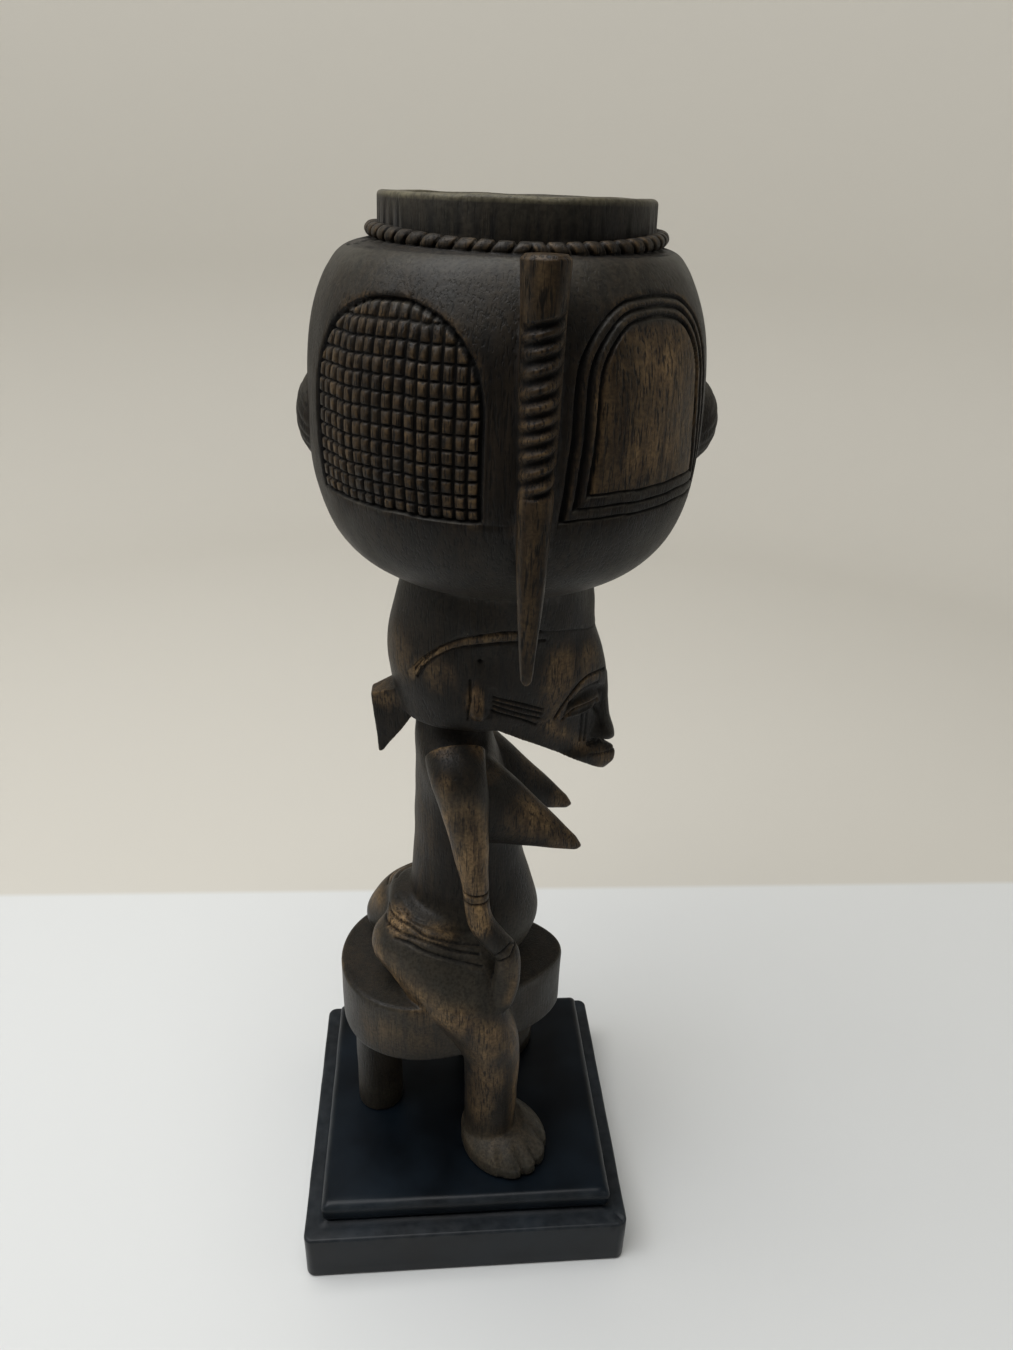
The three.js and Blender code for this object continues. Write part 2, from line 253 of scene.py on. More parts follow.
vessel = {
    "axis": 9.8, "collarDrift": 1.4,
    "outside": [[21, 286.5], [39, 293.6], [50, 301.6], [56.4, 313], [59.6, 330], [59.3, 353], [56, 371],
                [49, 384.4], [39.3, 388.4]],
    "inside": [[33.6, 390], [43.5, 383], [50.5, 369], [54, 344], [50.5, 319], [40, 304.5], [20, 297]],
    "collarRadius": 39.3, "mouthRadius": 33.6, "rimLevel": 399.5, "lip": 1.1,
    "columns": 1100, "fineStep": 0.36, "coarseStep": 1.2,
    "unevenness": 0.22,  # broad hollows and swellings left by the blade
}
squares = {
    "centre": -128, "halfWidth": 28, "spring": 350, "rise": 26.3, "power": 2.3, "bottom": 322.8,
    "firstColumn": -100.6, "columnPitch": -3.43,
    "rowLevels": [318.9, 322.9, 326.5, 330.3, 334, 337.7, 341.6, 345.7, 349.8, 354, 358.2, 362.5, 366.8,
                  371.2, 375.6],
    "columnCut": 0.52, "rowCut": 0.36, "depth": 1.25, "borderCut": 0.75, "borderDepth": 0.95,
}
arches = {
    "centre": -51, "spring": 352, "power": 2.5, "flare": 0.07,
    # half width in degrees, rise and bottom of each line, and of the plain panel within
    "lines": [[26.4, 26, 323.6], [23.1, 23.7, 326.8], [19.9, 21.4, 330.2]], "panel": [21.5, 20, 330.4],
    "sideCut": 0.72, "bottomCut": 0.34, "depth": 1.35, "bandStep": 0.16,
}
degreeLength = math.radians(1) * 60  # one degree along the wall, about 60 mm from the axis


def archInset(angle, level, shape, halfWidth, rise):
    # how far a point is inside an arch's sides and top, in millimetres
    power = shape["power"]
    across = np.abs(angle - shape["centre"]) / halfWidth
    above = np.maximum(0, level - shape["spring"]) / rise
    return (1 - (across ** power + above ** power) ** (1 / power)) * (halfWidth * degreeLength + rise) / 2


def cutShape(distance, half, soft=0.2):
    # 1 in a groove's flat bottom, 0 outside it
    return np.clip((half + soft - distance) / (2 * soft), 0, 1)


def vesselRelief(turn, level):
    # height of the wall's carving, below 0 where wood is cut away, and how far inside a cut it is;
    # turn is in degrees
    wave = 0.5 * np.sin(level / 5.3 + turn / 21) + 0.4 * np.sin(level / 2.1 + turn / 9)
    angle = -np.abs(turn) + 0.16 * wave
    shifted = level + 0.16 * np.sin(turn / 4.7) + 0.1 * np.sin(turn / 1.9)
    height = np.zeros_like(level)

    s = squares
    inset = archInset(angle, shifted, s, s["halfWidth"], s["rise"])
    inset = np.minimum(inset, shifted - s["bottom"])
    column = (angle - s["firstColumn"]) / s["columnPitch"]
    row = np.interp(shifted, s["rowLevels"], np.arange(len(s["rowLevels"])))
    columnNumber, rowNumber = np.floor(column), np.floor(row)
    pitch = np.interp(shifted, s["rowLevels"], np.gradient(s["rowLevels"]))
    fromColumn = np.abs(column - np.round(column)) * abs(s["columnPitch"]) * degreeLength
    fromRow = np.abs(row - np.round(row)) * pitch
    wobble = 0.12 * (scatter(columnNumber, rowNumber) - 0.5)
    rowCut = 0.9 * cutShape(fromRow, s["rowCut"] - wobble)
    cut = np.maximum(cutShape(fromColumn, s["columnCut"] + wobble), rowCut)
    crown = (column - columnNumber - 0.5) ** 2 + (row - rowNumber - 0.5) ** 2
    blockTop = -0.2 * crown - 0.28 * scatter(columnNumber, rowNumber, 2.0)
    blockTop += 0.25 * (scatter(columnNumber, rowNumber, 3.0) - 0.5) * (row - rowNumber - 0.5)
    within = smoothstep(inset, 0.1, 0.5)
    height += within * (-s["depth"] * cut + blockTop * (1 - cut) - 0.1)
    sideways = np.where(shifted - s["bottom"] < 1.2, 0.45, s["borderCut"])
    border = cutShape(np.abs(inset - 0.5), sideways)
    height -= s["borderDepth"] * border * (1 - 0.35 * cut)
    cutAway = np.maximum(within * cut, border)

    a = arches
    for number, (halfWidth, rise, bottom) in enumerate(a["lines"]):
        wide = halfWidth + a["flare"] * np.maximum(0, a["spring"] - shifted)
        inset = archInset(angle, shifted, a, wide, rise)
        fromBottom = shifted - bottom
        side = inset < fromBottom
        inset = np.minimum(inset, fromBottom)
        overTop = smoothstep(shifted, 362, 372)
        half = np.where(side, a["sideCut"] - 0.22 * overTop, a["bottomCut"])
        depth = np.where(side, a["depth"] - 0.5 * overTop, 0.75)
        cut = cutShape(np.abs(inset), half)
        height -= depth * cut
        height -= a["bandStep"] * smoothstep(inset, 0, 0.8) * (1 if number < 2 else 1.8)
        cutAway = np.maximum(cutAway, cut)
    return height, cutAway


def nearScratches(turn, level):
    # two slips of the blade beside the squares, on the side in view only
    first = cutShape(np.abs(turn + 98.7 - 0.3 * np.sin(level / 9)) * degreeLength, 0.1)
    second = cutShape(np.abs(turn + 97.6) * degreeLength, 0.08)
    bottom = cutShape(np.abs(level - 322.6 - 0.02 * (turn + 100)), 0.12) * (turn > -100.5) * (turn < -93.5)
    reach = smoothstep(level, 316, 319) * (1 - smoothstep(level, 352, 358))
    return -0.3 * first * reach - 0.2 * second * reach - 0.22 * bottom


def makeVessel():
    v = vessel
    outside = curveThrough(v["outside"], np.linspace(0, 1, 400))
    height = outside[:, 1]
    low = evenly(outside[height < 317], v["coarseStep"])
    middle = evenly(outside[(height >= 317) & (height < 380)], v["fineStep"])
    high = evenly(outside[height >= 380], v["coarseStep"] / 2)
    turnOver = np.radians(np.linspace(0, 90, 6))
    across, up = v["lip"] * np.cos(turnOver), v["lip"] * np.sin(turnOver)
    lip, wall, mouth, rim = v["lip"], v["collarRadius"] - 0.2, v["mouthRadius"], v["rimLevel"]
    outerLip = np.stack([wall - lip + across, rim - lip + up], 1)
    innerLip = np.stack([mouth + lip - up, rim - lip + across], 1)
    collar = evenly([[v["collarRadius"], 389], [wall, rim - lip]], 0.8)
    neck = evenly([[mouth, rim - lip], v["inside"][0]], 1.2)
    inside = evenly(curveThrough(v["inside"], np.linspace(0, 1, 200)), 2)
    base = evenly([[3, 286.5], [20, 286.5]], 3)
    floor = evenly([[19, 297], [3, 297]], 3)
    outerWall = [low, middle, high]
    section = np.concatenate([base, *outerWall, collar, outerLip, innerLip, neck[1:], inside[1:], floor])
    turn = np.linspace(-180, 180, v["columns"], endpoint=False)
    radius, turns = np.meshgrid(section[:, 0], turn, indexing="ij")
    level = np.meshgrid(section[:, 1], turn, indexing="ij")[0]
    angle = np.radians(turns)
    outer = np.zeros(len(section), bool)
    outer[len(base):len(base) + sum(len(part) for part in outerWall)] = True
    relief = vesselRelief(turns, level)[0] + nearScratches(turns, level)
    rough = np.stack([np.cos(angle) * 60, np.sin(angle) * 60, level], -1).reshape(-1, 3)
    relief += v["unevenness"] * ripple(rough, 13, 5).reshape(relief.shape)
    away = smoothstep(level, 318, 321)[outer] * (1 - smoothstep(level, 379, 382)[outer])
    slope = np.zeros_like(radius)
    slope[outer] = relief[outer] * (0.35 + 0.65 * away)
    drift = v["axis"] + v["collarDrift"] * smoothstep(level, 383, 391)
    rows = np.stack([drift + (radius + slope) * np.cos(angle), (radius + slope) * np.sin(angle), level], -1)
    worn = 0.16 * ripple(rows.reshape(-1, 3), 9, 7).reshape(level.shape) * (level > 389) * ~outer[:, None]
    rows[..., 2] += worn * smoothstep(level, 392, 399)
    return closedSkin("vessel", rows)


ring = {
    "radius": 40.4, "level": 390, "spread": 2.2, "sag": 2.3, "halfDepth": 2.35, "halfHeight": 2.0,
    "strands": 56, "gap": 0.085, "gapDepth": 0.42, "lean": 0.24,
}


def ringGap(angle, around):
    # a strand's number, how far a point is from its middle, and how near the gap between strands, 0 to 1
    r = ring
    fromSide = np.arccos(np.clip(-np.sin(angle), -1, 1))
    strand = r["strands"] * fromSide / (2 * math.pi) + r["lean"] * np.sin(around)
    number = np.floor(strand + 0.5)
    apart = strand - number
    return number, apart, np.exp(-((apart + 0.08 * (scatter(number, 0) - 0.5)) / r["gap"]) ** 2)


def makeRing():
    r = ring
    angle, around = fullTurn(20 * r["strands"], -180), fullTurn(26)
    a, s = np.meshgrid(angle, around, indexing="ij")
    number, apart, gap = ringGap(a, s)
    puff = 0.1 * (1 - 2 * np.abs(apart)) ** 2.5
    size = 1.03 - r["gapDepth"] * gap - puff + 0.05 * (scatter(number, 5) - 0.5)
    atSide = np.sin(a) ** 2
    radius = r["radius"] + r["spread"] * atSide + size * r["halfDepth"] * np.cos(s)
    level = r["level"] - r["sag"] * atSide + size * r["halfHeight"] * np.sin(s)
    middle = vessel["axis"] + vessel["collarDrift"]
    rows = np.stack([middle + radius * np.cos(a), radius * np.sin(a), level], -1)
    count, sides = a.shape
    i, j = np.meshgrid(np.arange(count), np.arange(sides), indexing="ij")
    a, b, c, d = cornersOf(i, j, (i + 1) % count, (j + 1) % sides, sides)
    faces = np.concatenate([np.stack([a, b, c], 1), np.stack([a, c, d], 1)])
    points = rows.reshape(-1, 3)
    return meshFrom("ring", points, outward(points - [middle, 0, 390], faces))


horn = {
    "x": 13.1, "y": 59.2, "top": 388, "tip": 275.6,
    "radii": [[275.6, 1.35], [280, 1.9], [295, 3.15], [310, 4.1], [332, 4.95], [355, 5.4], [374, 5.6],
              [388, 6.15]],
    "twistTop": 374.5, "twistBottom": 331.5, "pitch": 4.1, "starts": 2, "grooveDepth": 1.5, "inset": 0.25,
    "webWidth": 9, "webBottom": 338, "webRoot": 44,
}


def hornGroove(angle, level):
    # where the twist lies and how deep its slanting cuts are, 0 to 1; -90 degrees faces outward
    h = horn
    facing = smoothstep(-np.sin(angle), 0, 0.3)
    slant = level - h["pitch"] * h["starts"] * (angle + math.pi / 2) / (2 * math.pi)
    inside = smoothstep(level, h["twistBottom"] - 1.5, h["twistBottom"] + 1) * facing
    inside *= 1 - smoothstep(slant, h["twistTop"] - 0.6, h["twistTop"] + 0.6)
    phase = slant / h["pitch"] + 0.1 * np.sin(level / 3.7)
    number = np.floor(phase + 0.5)
    cut = np.clip(1.15 - np.abs(phase - number) / (0.34 + 0.08 * scatter(number, 1)), 0, 1)
    middle = 0.5 + 0.5 * np.exp(-((angle + math.radians(88)) / math.radians(55)) ** 2)
    return inside, inside * middle * cut


def makeHorn():
    h = horn
    level = np.linspace(h["tip"], h["top"], 340)
    z, a = np.meshgrid(level, fullTurn(96, -180), indexing="ij")
    places, radii = np.array(h["radii"]).T
    size = np.interp(z, places, radii)
    size *= np.clip((z - h["tip"]) / 1.6, 0.05, 1) ** 0.5
    size -= 1.1 * smoothstep(z, h["top"] - 1.4, h["top"]) ** 2
    inside, groove = hornGroove(a, z)
    size -= inside * h["inset"] + h["grooveDepth"] * groove ** 1.2
    size -= 0.5 * smoothstep(-np.sin(a), 0.55, 1) * (z < h["twistBottom"])
    rough = np.stack([z * 0, z, a * 6], -1).reshape(-1, 3)
    size += 0.07 * ripple(rough, 7, 12).reshape(z.shape)
    rows = np.stack([h["x"] + size * np.cos(a), -h["y"] + size * np.sin(a), z], -1)
    body = closedSkin("horn", rows)
    # the web that ties the horn to the wall reaches less far in at its lower end
    half, length = h["webWidth"] / 2, h["top"] - 1 - h["webBottom"]
    left, right = h["x"] - half, h["x"] + half
    stack = []
    for s in np.linspace(0, 1, 6):
        root = -h["webRoot"] - 12 * (1 - s)
        outline = [(left, -h["y"]), (right, -h["y"]), (right, root), (left, root)]
        stack.append([(x, y, h["webBottom"] + length * s) for x, y in outline])
    return combined(body, closedSkin("web", np.array(stack, float)), "UNION")


boss = {"level": 338.6, "root": 53, "halfWidth": 13, "halfHeight": 15, "ridge": 2.1, "ridgeDepth": 0.5}


def makeBoss(direction, reach):
    # a low dome with chevron ridges, at the vessel's front for direction 1 and its back for -1
    b = boss
    along = np.linspace(0, 1, 40)
    s, a = np.meshgrid(along, fullTurn(120, -180), indexing="ij")
    size = np.cos(s * 0.49 * math.pi)
    out = b["root"] + (reach - b["root"]) * np.sin(s * math.pi / 2)
    y = -direction * size * b["halfWidth"] * np.sin(a)
    z = b["level"] + size * b["halfHeight"] * np.cos(a)
    ridge = np.abs(np.sin(math.pi * (z + 0.8 * np.abs(y)) / b["ridge"] / 2))
    out -= b["ridgeDepth"] * (1 - ridge) * smoothstep(s, 0.1, 0.3)
    rows = np.stack([vessel["axis"] + direction * out, y, z], -1)
    return closedSkin("boss", rows)


def levelForm(name, stations, sides=96, rings=150):
    # a form from stations of level, back, front, half width, and how much narrower its front is
    along = np.linspace(0, 1, rings)
    level, back, front, width, narrow = curveThrough(stations, along).T[:, :, None]
    angle = fullTurn(sides)[None, :]
    forward = np.cos(angle)
    x = (front + back) / 2 + (front - back) / 2 * forward
    y = width * (1 - narrow * forward) * np.sin(angle)
    return closedSkin(name, np.stack([x, y, np.broadcast_to(level, x.shape)], -1))


def limb(name, stations, sides=64, rings=140, frameAxis=(0, 1, 0)):
    # a form from stations of x, y, level, half depth and half width
    along = np.linspace(0, 1, rings)
    values = curveThrough(stations, along)
    course, depth, width = values[:, :3], values[:, 3:4], values[:, 4:5]
    tangent = np.gradient(course, axis=0)
    tangent /= np.linalg.norm(tangent, axis=1, keepdims=True)
    forward = np.cross(frameAxis, tangent)
    forward /= np.linalg.norm(forward, axis=1, keepdims=True)
    across = np.cross(tangent, forward)
    angle = fullTurn(sides)[None, :, None]
    rows = course[:, None] + forward[:, None] * depth[:, None] * np.cos(angle)
    return closedSkin(name, rows + across[:, None] * width[:, None] * np.sin(angle))


head = {
    "stations": [
        [203, 20, 46.4, 6, 0.2], [208.5, 12, 50.3, 7.5, 0.3], [211, 7, 52.9, 8.4, 0.34],
        [213.2, 3, 54.6, 9.4, 0.36], [217.8, -2.6, 54.2, 11.6, 0.4], [220, -7, 51.3, 12.6, 0.42],
        [222.8, -13, 48.8, 13.8, 0.44], [230, -20, 48.4, 16.5, 0.4], [238, -24, 47.4, 18.8, 0.36],
        [245, -26, 48.6, 20.4, 0.3], [252, -27.4, 48.4, 21.6, 0.25], [260, -28.2, 46.2, 22.6, 0.2],
        [270, -27.5, 42.7, 23.6, 0.12], [280, -25, 41.5, 25, 0.06], [290, -22, 40, 26, 0],
    ],
    "jawFront": [51, 209.2], "jawBack": [8.5, 236.5], "skullUnderside": 239,
}


def prism(name, outline, low, high):
    outline = np.asarray(outline, float)
    rows = np.array([[(x, y, z) for x, z in outline] for y in (low, high)])
    return closedSkin(name, rows)


def makeHead():
    h = head
    skull = levelForm("skull", h["stations"])
    (x1, z1), (x0, z0) = h["jawFront"], h["jawBack"]
    slope = (z1 - z0) / (x1 - x0)
    outline = [(-80, h["skullUnderside"]), (x0, z0), (90, z0 + slope * (90 - x0)), (90, 120), (-80, 120)]
    below = prism("below", outline, -60, 60)
    return combined(skull, below, "DIFFERENCE")


nose = {
    "bottom": 223.2, "height": 27, "halfWidth": 5.4, "halfDepth": 5.5, "behind": 8, "flare": 0.14,
    # how far forward the ridge lies, by share of the height
    "shares": [0, 0.12, 0.35, 0.62, 1], "ridge": [53.8, 53.4, 51.4, 49.9, 49],
}


def makeNose():
    n = nose
    along, angle = ringsOf(40, 48)
    flare = 1 + n["flare"] * np.exp(-((along - 0.1) / 0.13) ** 2)
    size = (1 - 0.5 * along) * np.clip(along / 0.05, 0.55, 1) ** 0.5
    depth = np.where(np.cos(angle) < 0, n["behind"], n["halfDepth"])
    x = np.interp(along, n["shares"], n["ridge"]) - n["halfDepth"] * size + size * depth * np.cos(angle)
    y = flare * size * n["halfWidth"] * np.sin(angle)
    return closedSkin("nose", np.stack([x, y, n["bottom"] + n["height"] * along + 0 * x], -1))


ear = {
    "x": 2, "y": -21, "level": 243, "height": 14, "lean": 1.4, "narrowing": 0.45,
    "halfLength": 2.9, "halfWidth": 2.6,
}


def makeEar():
    e = ear
    along, angle = ringsOf(24, 32)
    size = (1 - e["narrowing"] * along) * np.clip(along / 0.12, 0.5, 1) ** 0.5
    x = e["x"] - e["lean"] * along + e["halfLength"] * size * np.cos(angle)
    y = e["y"] + e["halfWidth"] * size * np.sin(angle)
    return closedSkin("ear", np.stack([x, y, e["level"] + e["height"] * along + 0 * x], -1))


def makeKnot():
    # the plait behind the head: its outline from the side, widened from its tip up
    side = [(-14, 250), (-26, 246.4), (-34.6, 243.2), (-34, 236), (-32.6, 218), (-31, 218.3),
            (-19.6, 236), (-14, 242)]
    tip, top = 218, 243.2
    thing = prism("knot", side, -1, 1)
    points, _ = arraysOf(thing)
    rise = (points[:, 2] - tip) / (top - tip)
    points[:, 1] *= (1 + 0.07 * (points[:, 0] + 34)) * (1.4 + (3.6 - 1.4) * rise)
    setPoints(thing, points)
    return thing


trunk = [
    [110, -14, 16, 12, 0], [124, -20, 22, 16, 0], [134, -22, 27.7, 17, 0], [142, -22.8, 29.4, 17.5, 0],
    [149, -22.5, 29.1, 17.5, 0], [160, -21.6, 25.3, 17, 0], [170, -20.8, 22.6, 16.6, 0],
    [185, -20, 19.5, 17, 0], [200, -19.7, 16, 18.2, 0], [213, -19.4, 12.5, 20.5, 0],
    [222, -19.3, 9.6, 20.5, 0], [228, -19.2, 8.4, 15, 0], [234, -19, 8, 12.6, 0], [246, -18, 8, 12, 0],
]
arm = [
    [-5.5, -16, 226, 10.6, 8], [-4.7, -22.5, 221, 10, 7.6], [-2.4, -25, 211, 8.6, 6.6],
    [-0.5, -26.5, 196, 6.9, 5.8], [1.7, -27.5, 180, 5.1, 5], [2.4, -28, 170, 4.7, 4.6],
    [4.4, -28.4, 160.5, 5, 4.5], [9.4, -28.8, 152, 4.9, 4.3], [14.4, -29.4, 144.5, 4.7, 3.8],
    [14.4, -30.4, 132, 5.2, 3], [12.8, -31, 122, 4.4, 2.6], [11.8, -31, 117, 2.6, 1.8],
]
leg = [
    [-28, -11, 143, 7, 6], [-22, -14, 139.5, 15, 11.5], [-13, -19, 131.5, 17.2, 13.3],
    [-2, -25, 119, 15.5, 12.8], [6, -26.5, 105, 13.2, 11.8], [10, -26.5, 90, 11.6, 10.8],
    [10.4, -26, 70, 11, 10], [10.4, -25.6, 50, 11, 10.2], [10.4, -25.6, 40, 11.6, 10.6],
]
hipRoll = [
    # x, y, level, half depth outward, half height
    [-25.5, 0, 149.5, 6, 6], [-25.3, -4, 149.3, 6, 6], [-23.5, -9.5, 148, 6.5, 6.2],
    [-19.5, -14, 144.5, 7.5, 6.4], [-11.5, -18, 140.8, 8, 6.4], [-3, -21, 138.8, 8.5, 6.3],
    [5, -22, 137, 8, 6], [11, -21, 135, 6, 5],
]
foot = {
    "x": 16.4, "y": 28.4, "length": 19.4, "width": 16.6, "turn": 48, "height": 13.8, "lean": 4.5,
    "sole": 34.6, "toeGaps": (32, 3, -21, -52), "gapWidth": 4.5, "toeDepth": 1.9,
}
seat = {
    "x": -5.3, "halfLength": 45.6, "halfWidth": 31.5, "taper": 0.29, "top": 120, "bottom": 91.7,
    "legX": -37, "legRadius": 9.8,
}


breast = {"root": (4, -11.5, 205.6), "tip": (42.6, -13.5, 182.5), "halfWidth": 11.5, "halfHeight": 20}


def makeBreast():
    b = breast
    share, angle = ringsOf(90, 80)
    along = 1 - (1 - share) ** 2
    size = (1 - 0.9 * along) * np.clip((1 - along) / 0.06, 0, 1) ** 0.5
    root, tip = np.array(b["root"]), np.array(b["tip"])
    middle = root + (tip - root) * along[..., None]
    spread = np.stack([0 * angle, -b["halfWidth"] * np.sin(angle), b["halfHeight"] * np.cos(angle)], -1)
    return closedSkin("breast", middle + spread * size[..., None])


def makeRound(name, middle, radii):
    up = np.radians(np.linspace(-88, 88, 60))[:, None, None]
    angle = fullTurn(80)[None, :, None]
    flat = np.cos(up)
    out = np.concatenate([flat * np.cos(angle), flat * np.sin(angle), np.sin(up) + 0 * angle], 2)
    return closedSkin(name, np.array(middle) + out * np.array(radii))


def makeFoot():
    f = foot
    along, angle = ringsOf(40, 180, -180)
    rise = np.maximum(0, 2 * along - 1)
    outline = 1 - 0.36 * rise ** 1.6 - 0.06 * np.exp(-(along / 0.08) ** 2)
    apart = [(angle - math.radians(gap)) / math.radians(f["gapWidth"]) for gap in f["toeGaps"]]
    notch = sum(np.exp(-part ** 2) for part in apart)
    toes = f["toeDepth"] * (1 - rise) * notch
    ahead = (f["length"] * outline - toes) * np.cos(angle) - f["lean"] * rise
    aside = f["width"] * outline * np.sin(angle)
    turn = math.radians(-f["turn"])
    x = f["x"] + ahead * math.cos(turn) - aside * math.sin(turn)
    y = -f["y"] + ahead * math.sin(turn) + aside * math.cos(turn)
    cleft = notch * smoothstep(along, 0.3, 0.62) * (1 - smoothstep(along, 0.7, 0.95))
    z = f["sole"] + f["height"] * along - f["toeDepth"] * 0.7 * cleft + 0 * x
    return closedSkin("foot", np.stack([x, y, z], -1))


def makeStool():
    s = seat
    turn = fullTurn(240)
    low, high = s["bottom"], s["top"]
    edge = [(6, low), (1.5, low), (0.45, low + 0.5), (0, low + 1.5)]
    edge += [(0, z) for z in np.linspace(low + 3, high - 3, 12)]
    edge += [(0, high - 1.5), (0.45, high - 0.45), (1.5, high), (6, high)]
    rows = []
    for inset, level in edge:
        long = s["halfLength"] - inset
        wide = s["halfWidth"] - inset
        x = s["x"] + long * np.cos(turn)
        y = wide * np.sin(turn) * (1 - s["taper"] * np.cos(turn))
        rows.append(np.stack([x, y, np.full_like(x, level)], 1))
    top = closedSkin("seat", np.array(rows))
    x = s["legX"] + s["legRadius"] * np.cos(turn)
    y = s["legRadius"] * np.sin(turn)
    levels = np.linspace(foot["sole"], s["bottom"] + 4, 12)
    leg = closedSkin("stool_leg", np.array([np.stack([x, y, np.full_like(x, z)], 1) for z in levels]))
    return [top, leg]


# Lines carved in the body on both sides: points on its surface, half width and depth in millimetres.
# A depth below 0 raises a welt.
carvedLines = [
    ([(-21.2, -19, 258.2), (-17.2, -20, 263.6), (-10.7, -21.5, 269.7), (-4.3, -22.3, 273.3),
      (2.1, -22.6, 275.4), (8.5, -22.4, 276.4), (14.9, -21.8, 276), (21, -20.6, 275.4)], 0.5, 0.75),
    ([(21, -20.6, 275.4), (31.3, -16, 273.2), (38, -10, 270.8), (42.6, 0, 268.9)], 0.5, 0.2),
    ([(-18.9, -19, 257), (-15.6, -20, 262.5), (-9.1, -21.5, 267.9), (-3.7, -22, 270.4), (2.1, -22.3, 271.8),
      (8.6, -22, 272.5), (15.1, -21.5, 272.1), (23, -19.6, 271.4)], 0.45, 0.65),
    ([(7.1, -21.7, 251.3), (16.1, -19.8, 247.9), (24.1, -16.7, 243.7)], 0.42, 0.7),
    ([(7.2, -21.6, 249.4), (16.3, -19.3, 245.6), (23.9, -16.3, 241.8)], 0.42, 0.7),
    ([(7.2, -21.4, 247.6), (16.3, -18.9, 243.2), (23.4, -15.9, 239.7)], 0.42, 0.7),
    ([(6.6, -21.1, 245.6), (16.5, -18.3, 240.8), (22.1, -15.8, 237.1)], 0.42, 0.7),
    ([(29, -13.7, 238.4), (32.1, -13.9, 244.7), (35.7, -12.9, 250.2), (39.7, -11, 253.1),
      (43.4, -7.7, 253.4), (47, -4, 252.6)], 0.45, 0.75),
    ([(35.1, -11.9, 242.9), (38.7, -10.7, 245), (42.5, -8.1, 245.9), (45.9, -5.3, 244.7)], 1.9, 1.5),
    ([(32.7, -12, 238.8), (35.1, -12.1, 243.7), (38.4, -11.2, 248), (44.5, -6.7, 249)], 0.55, 0.45),
    ([(31.6, -12, 236.8), (35.9, -10.9, 240.1), (40.3, -8.6, 240.9), (45, -5.2, 241.4)], 0.35, 0.55),
    ([(34.1, -11.1, 237.8), (39.6, -8.4, 238.2), (45.6, -4.5, 240.2)], 0.65, -0.6),
    ([(34.6, -11.5, 241.3), (39.2, -9.5, 242.5), (44.6, -5.8, 243)], 0.6, -0.5),
    ([(39.5, -8.5, 237), (39.8, -7.7, 230.6), (40.1, -7, 224.7)], 0.4, 0.55),
    ([(41.3, -7.3, 236.4), (41.6, -6.7, 230), (42, -6.3, 224.2)], 0.4, 0.55),
    ([(44.4, -5.6, 239), (46.4, -4.6, 234.7), (47.6, -5.4, 230.2)], 0.9, 0.9),
    ([(44, -6, 218.4), (47.4, -4.6, 217.8), (51.5, -2, 217.3), (54, 0, 217.2)], 0.45, 0.5),
    ([(43.9, -6.2, 222.6), (48, -4.4, 222.9), (51.5, 0, 222.9)], 0.5, 0.6),
    ([(-1, -22.5, 258.2), (-0.9, -21.9, 250.4), (-1.4, -20.3, 242.6)], 0.5, 0.8),
    ([(1.7, -22.3, 254.4), (3.4, -21.9, 250.4), (2.8, -22.6, 244.4)], 1.5, -0.5),
    ([(6.4, -21.8, 254), (6.2, -21.6, 248), (5.6, -21, 243.6)], 1.1, 0.55),
    ([(-27.7, -5.9, 153.9), (-24.6, -12, 153.2), (-20.2, -17, 151), (-11.5, -19.5, 149), (-3, -19.1, 146.7),
      (8, -17.6, 144.6)], 0.9, 0.7),
    ([(-30, -6, 150.4), (-29.4, -10, 150), (-26.8, -14.7, 150.2), (-22.1, -18.3, 150.2),
      (-15.8, -22.9, 148.4), (-8.9, -23.9, 146.9), (-3.2, -23.3, 144.9), (4, -22.4, 143.4)], 0.5, 0.8),
    ([(-31.8, -9, 147.6), (-31.2, -13, 147.4), (-27.5, -17.7, 147.9), (-23.4, -21, 147.8),
      (-15.8, -24.3, 147.2), (-8.9, -25.8, 145.2), (-3.2, -26.2, 143.5), (4, -26.2, 142)], 0.5, 0.85),
    ([(-27.9, -20.3, 145.8), (-22.1, -23.7, 146.1), (-17.6, -26.2, 144.9), (-12.7, -27.6, 143.6),
      (-3.3, -28.7, 140.9), (5, -29.2, 138.4)], 0.5, 0.85),
    ([(-22.1, -24.8, 144.6), (-15.8, -27.6, 143), (-9, -28.9, 141.2), (-3.3, -29.5, 139.2),
      (5, -29.7, 136.6)], 0.6, -0.35),
    ([(-2.4, -29.3, 175.4), (-0.9, -31.5, 175.4), (1.2, -32.5, 175.5), (3.4, -32.4, 175.4),
      (5.6, -31.1, 175.2), (7, -28, 175.4)], 0.4, 0.75),
    ([(-2.2, -29.3, 171.3), (-0.5, -31.7, 171.4), (1.3, -32.5, 171.6), (3.5, -32.4, 171.7),
      (5.3, -31.5, 171.5), (7, -28.4, 171.6)], 0.4, 0.75),
    ([(18.2, -30, 151.6), (16.8, -31.2, 152), (15.1, -31.1, 151.6), (13.2, -32.8, 150.5),
      (11.3, -33.1, 148.8), (9.8, -31.4, 147)], 0.42, 0.75),
    ([(18.8, -28, 151), (17.2, -29.7, 150), (16.3, -32, 149.1), (15.1, -33.1, 146.9), (12.9, -33.2, 145.4),
      (10.9, -32, 143.5)], 0.42, 0.75),
]
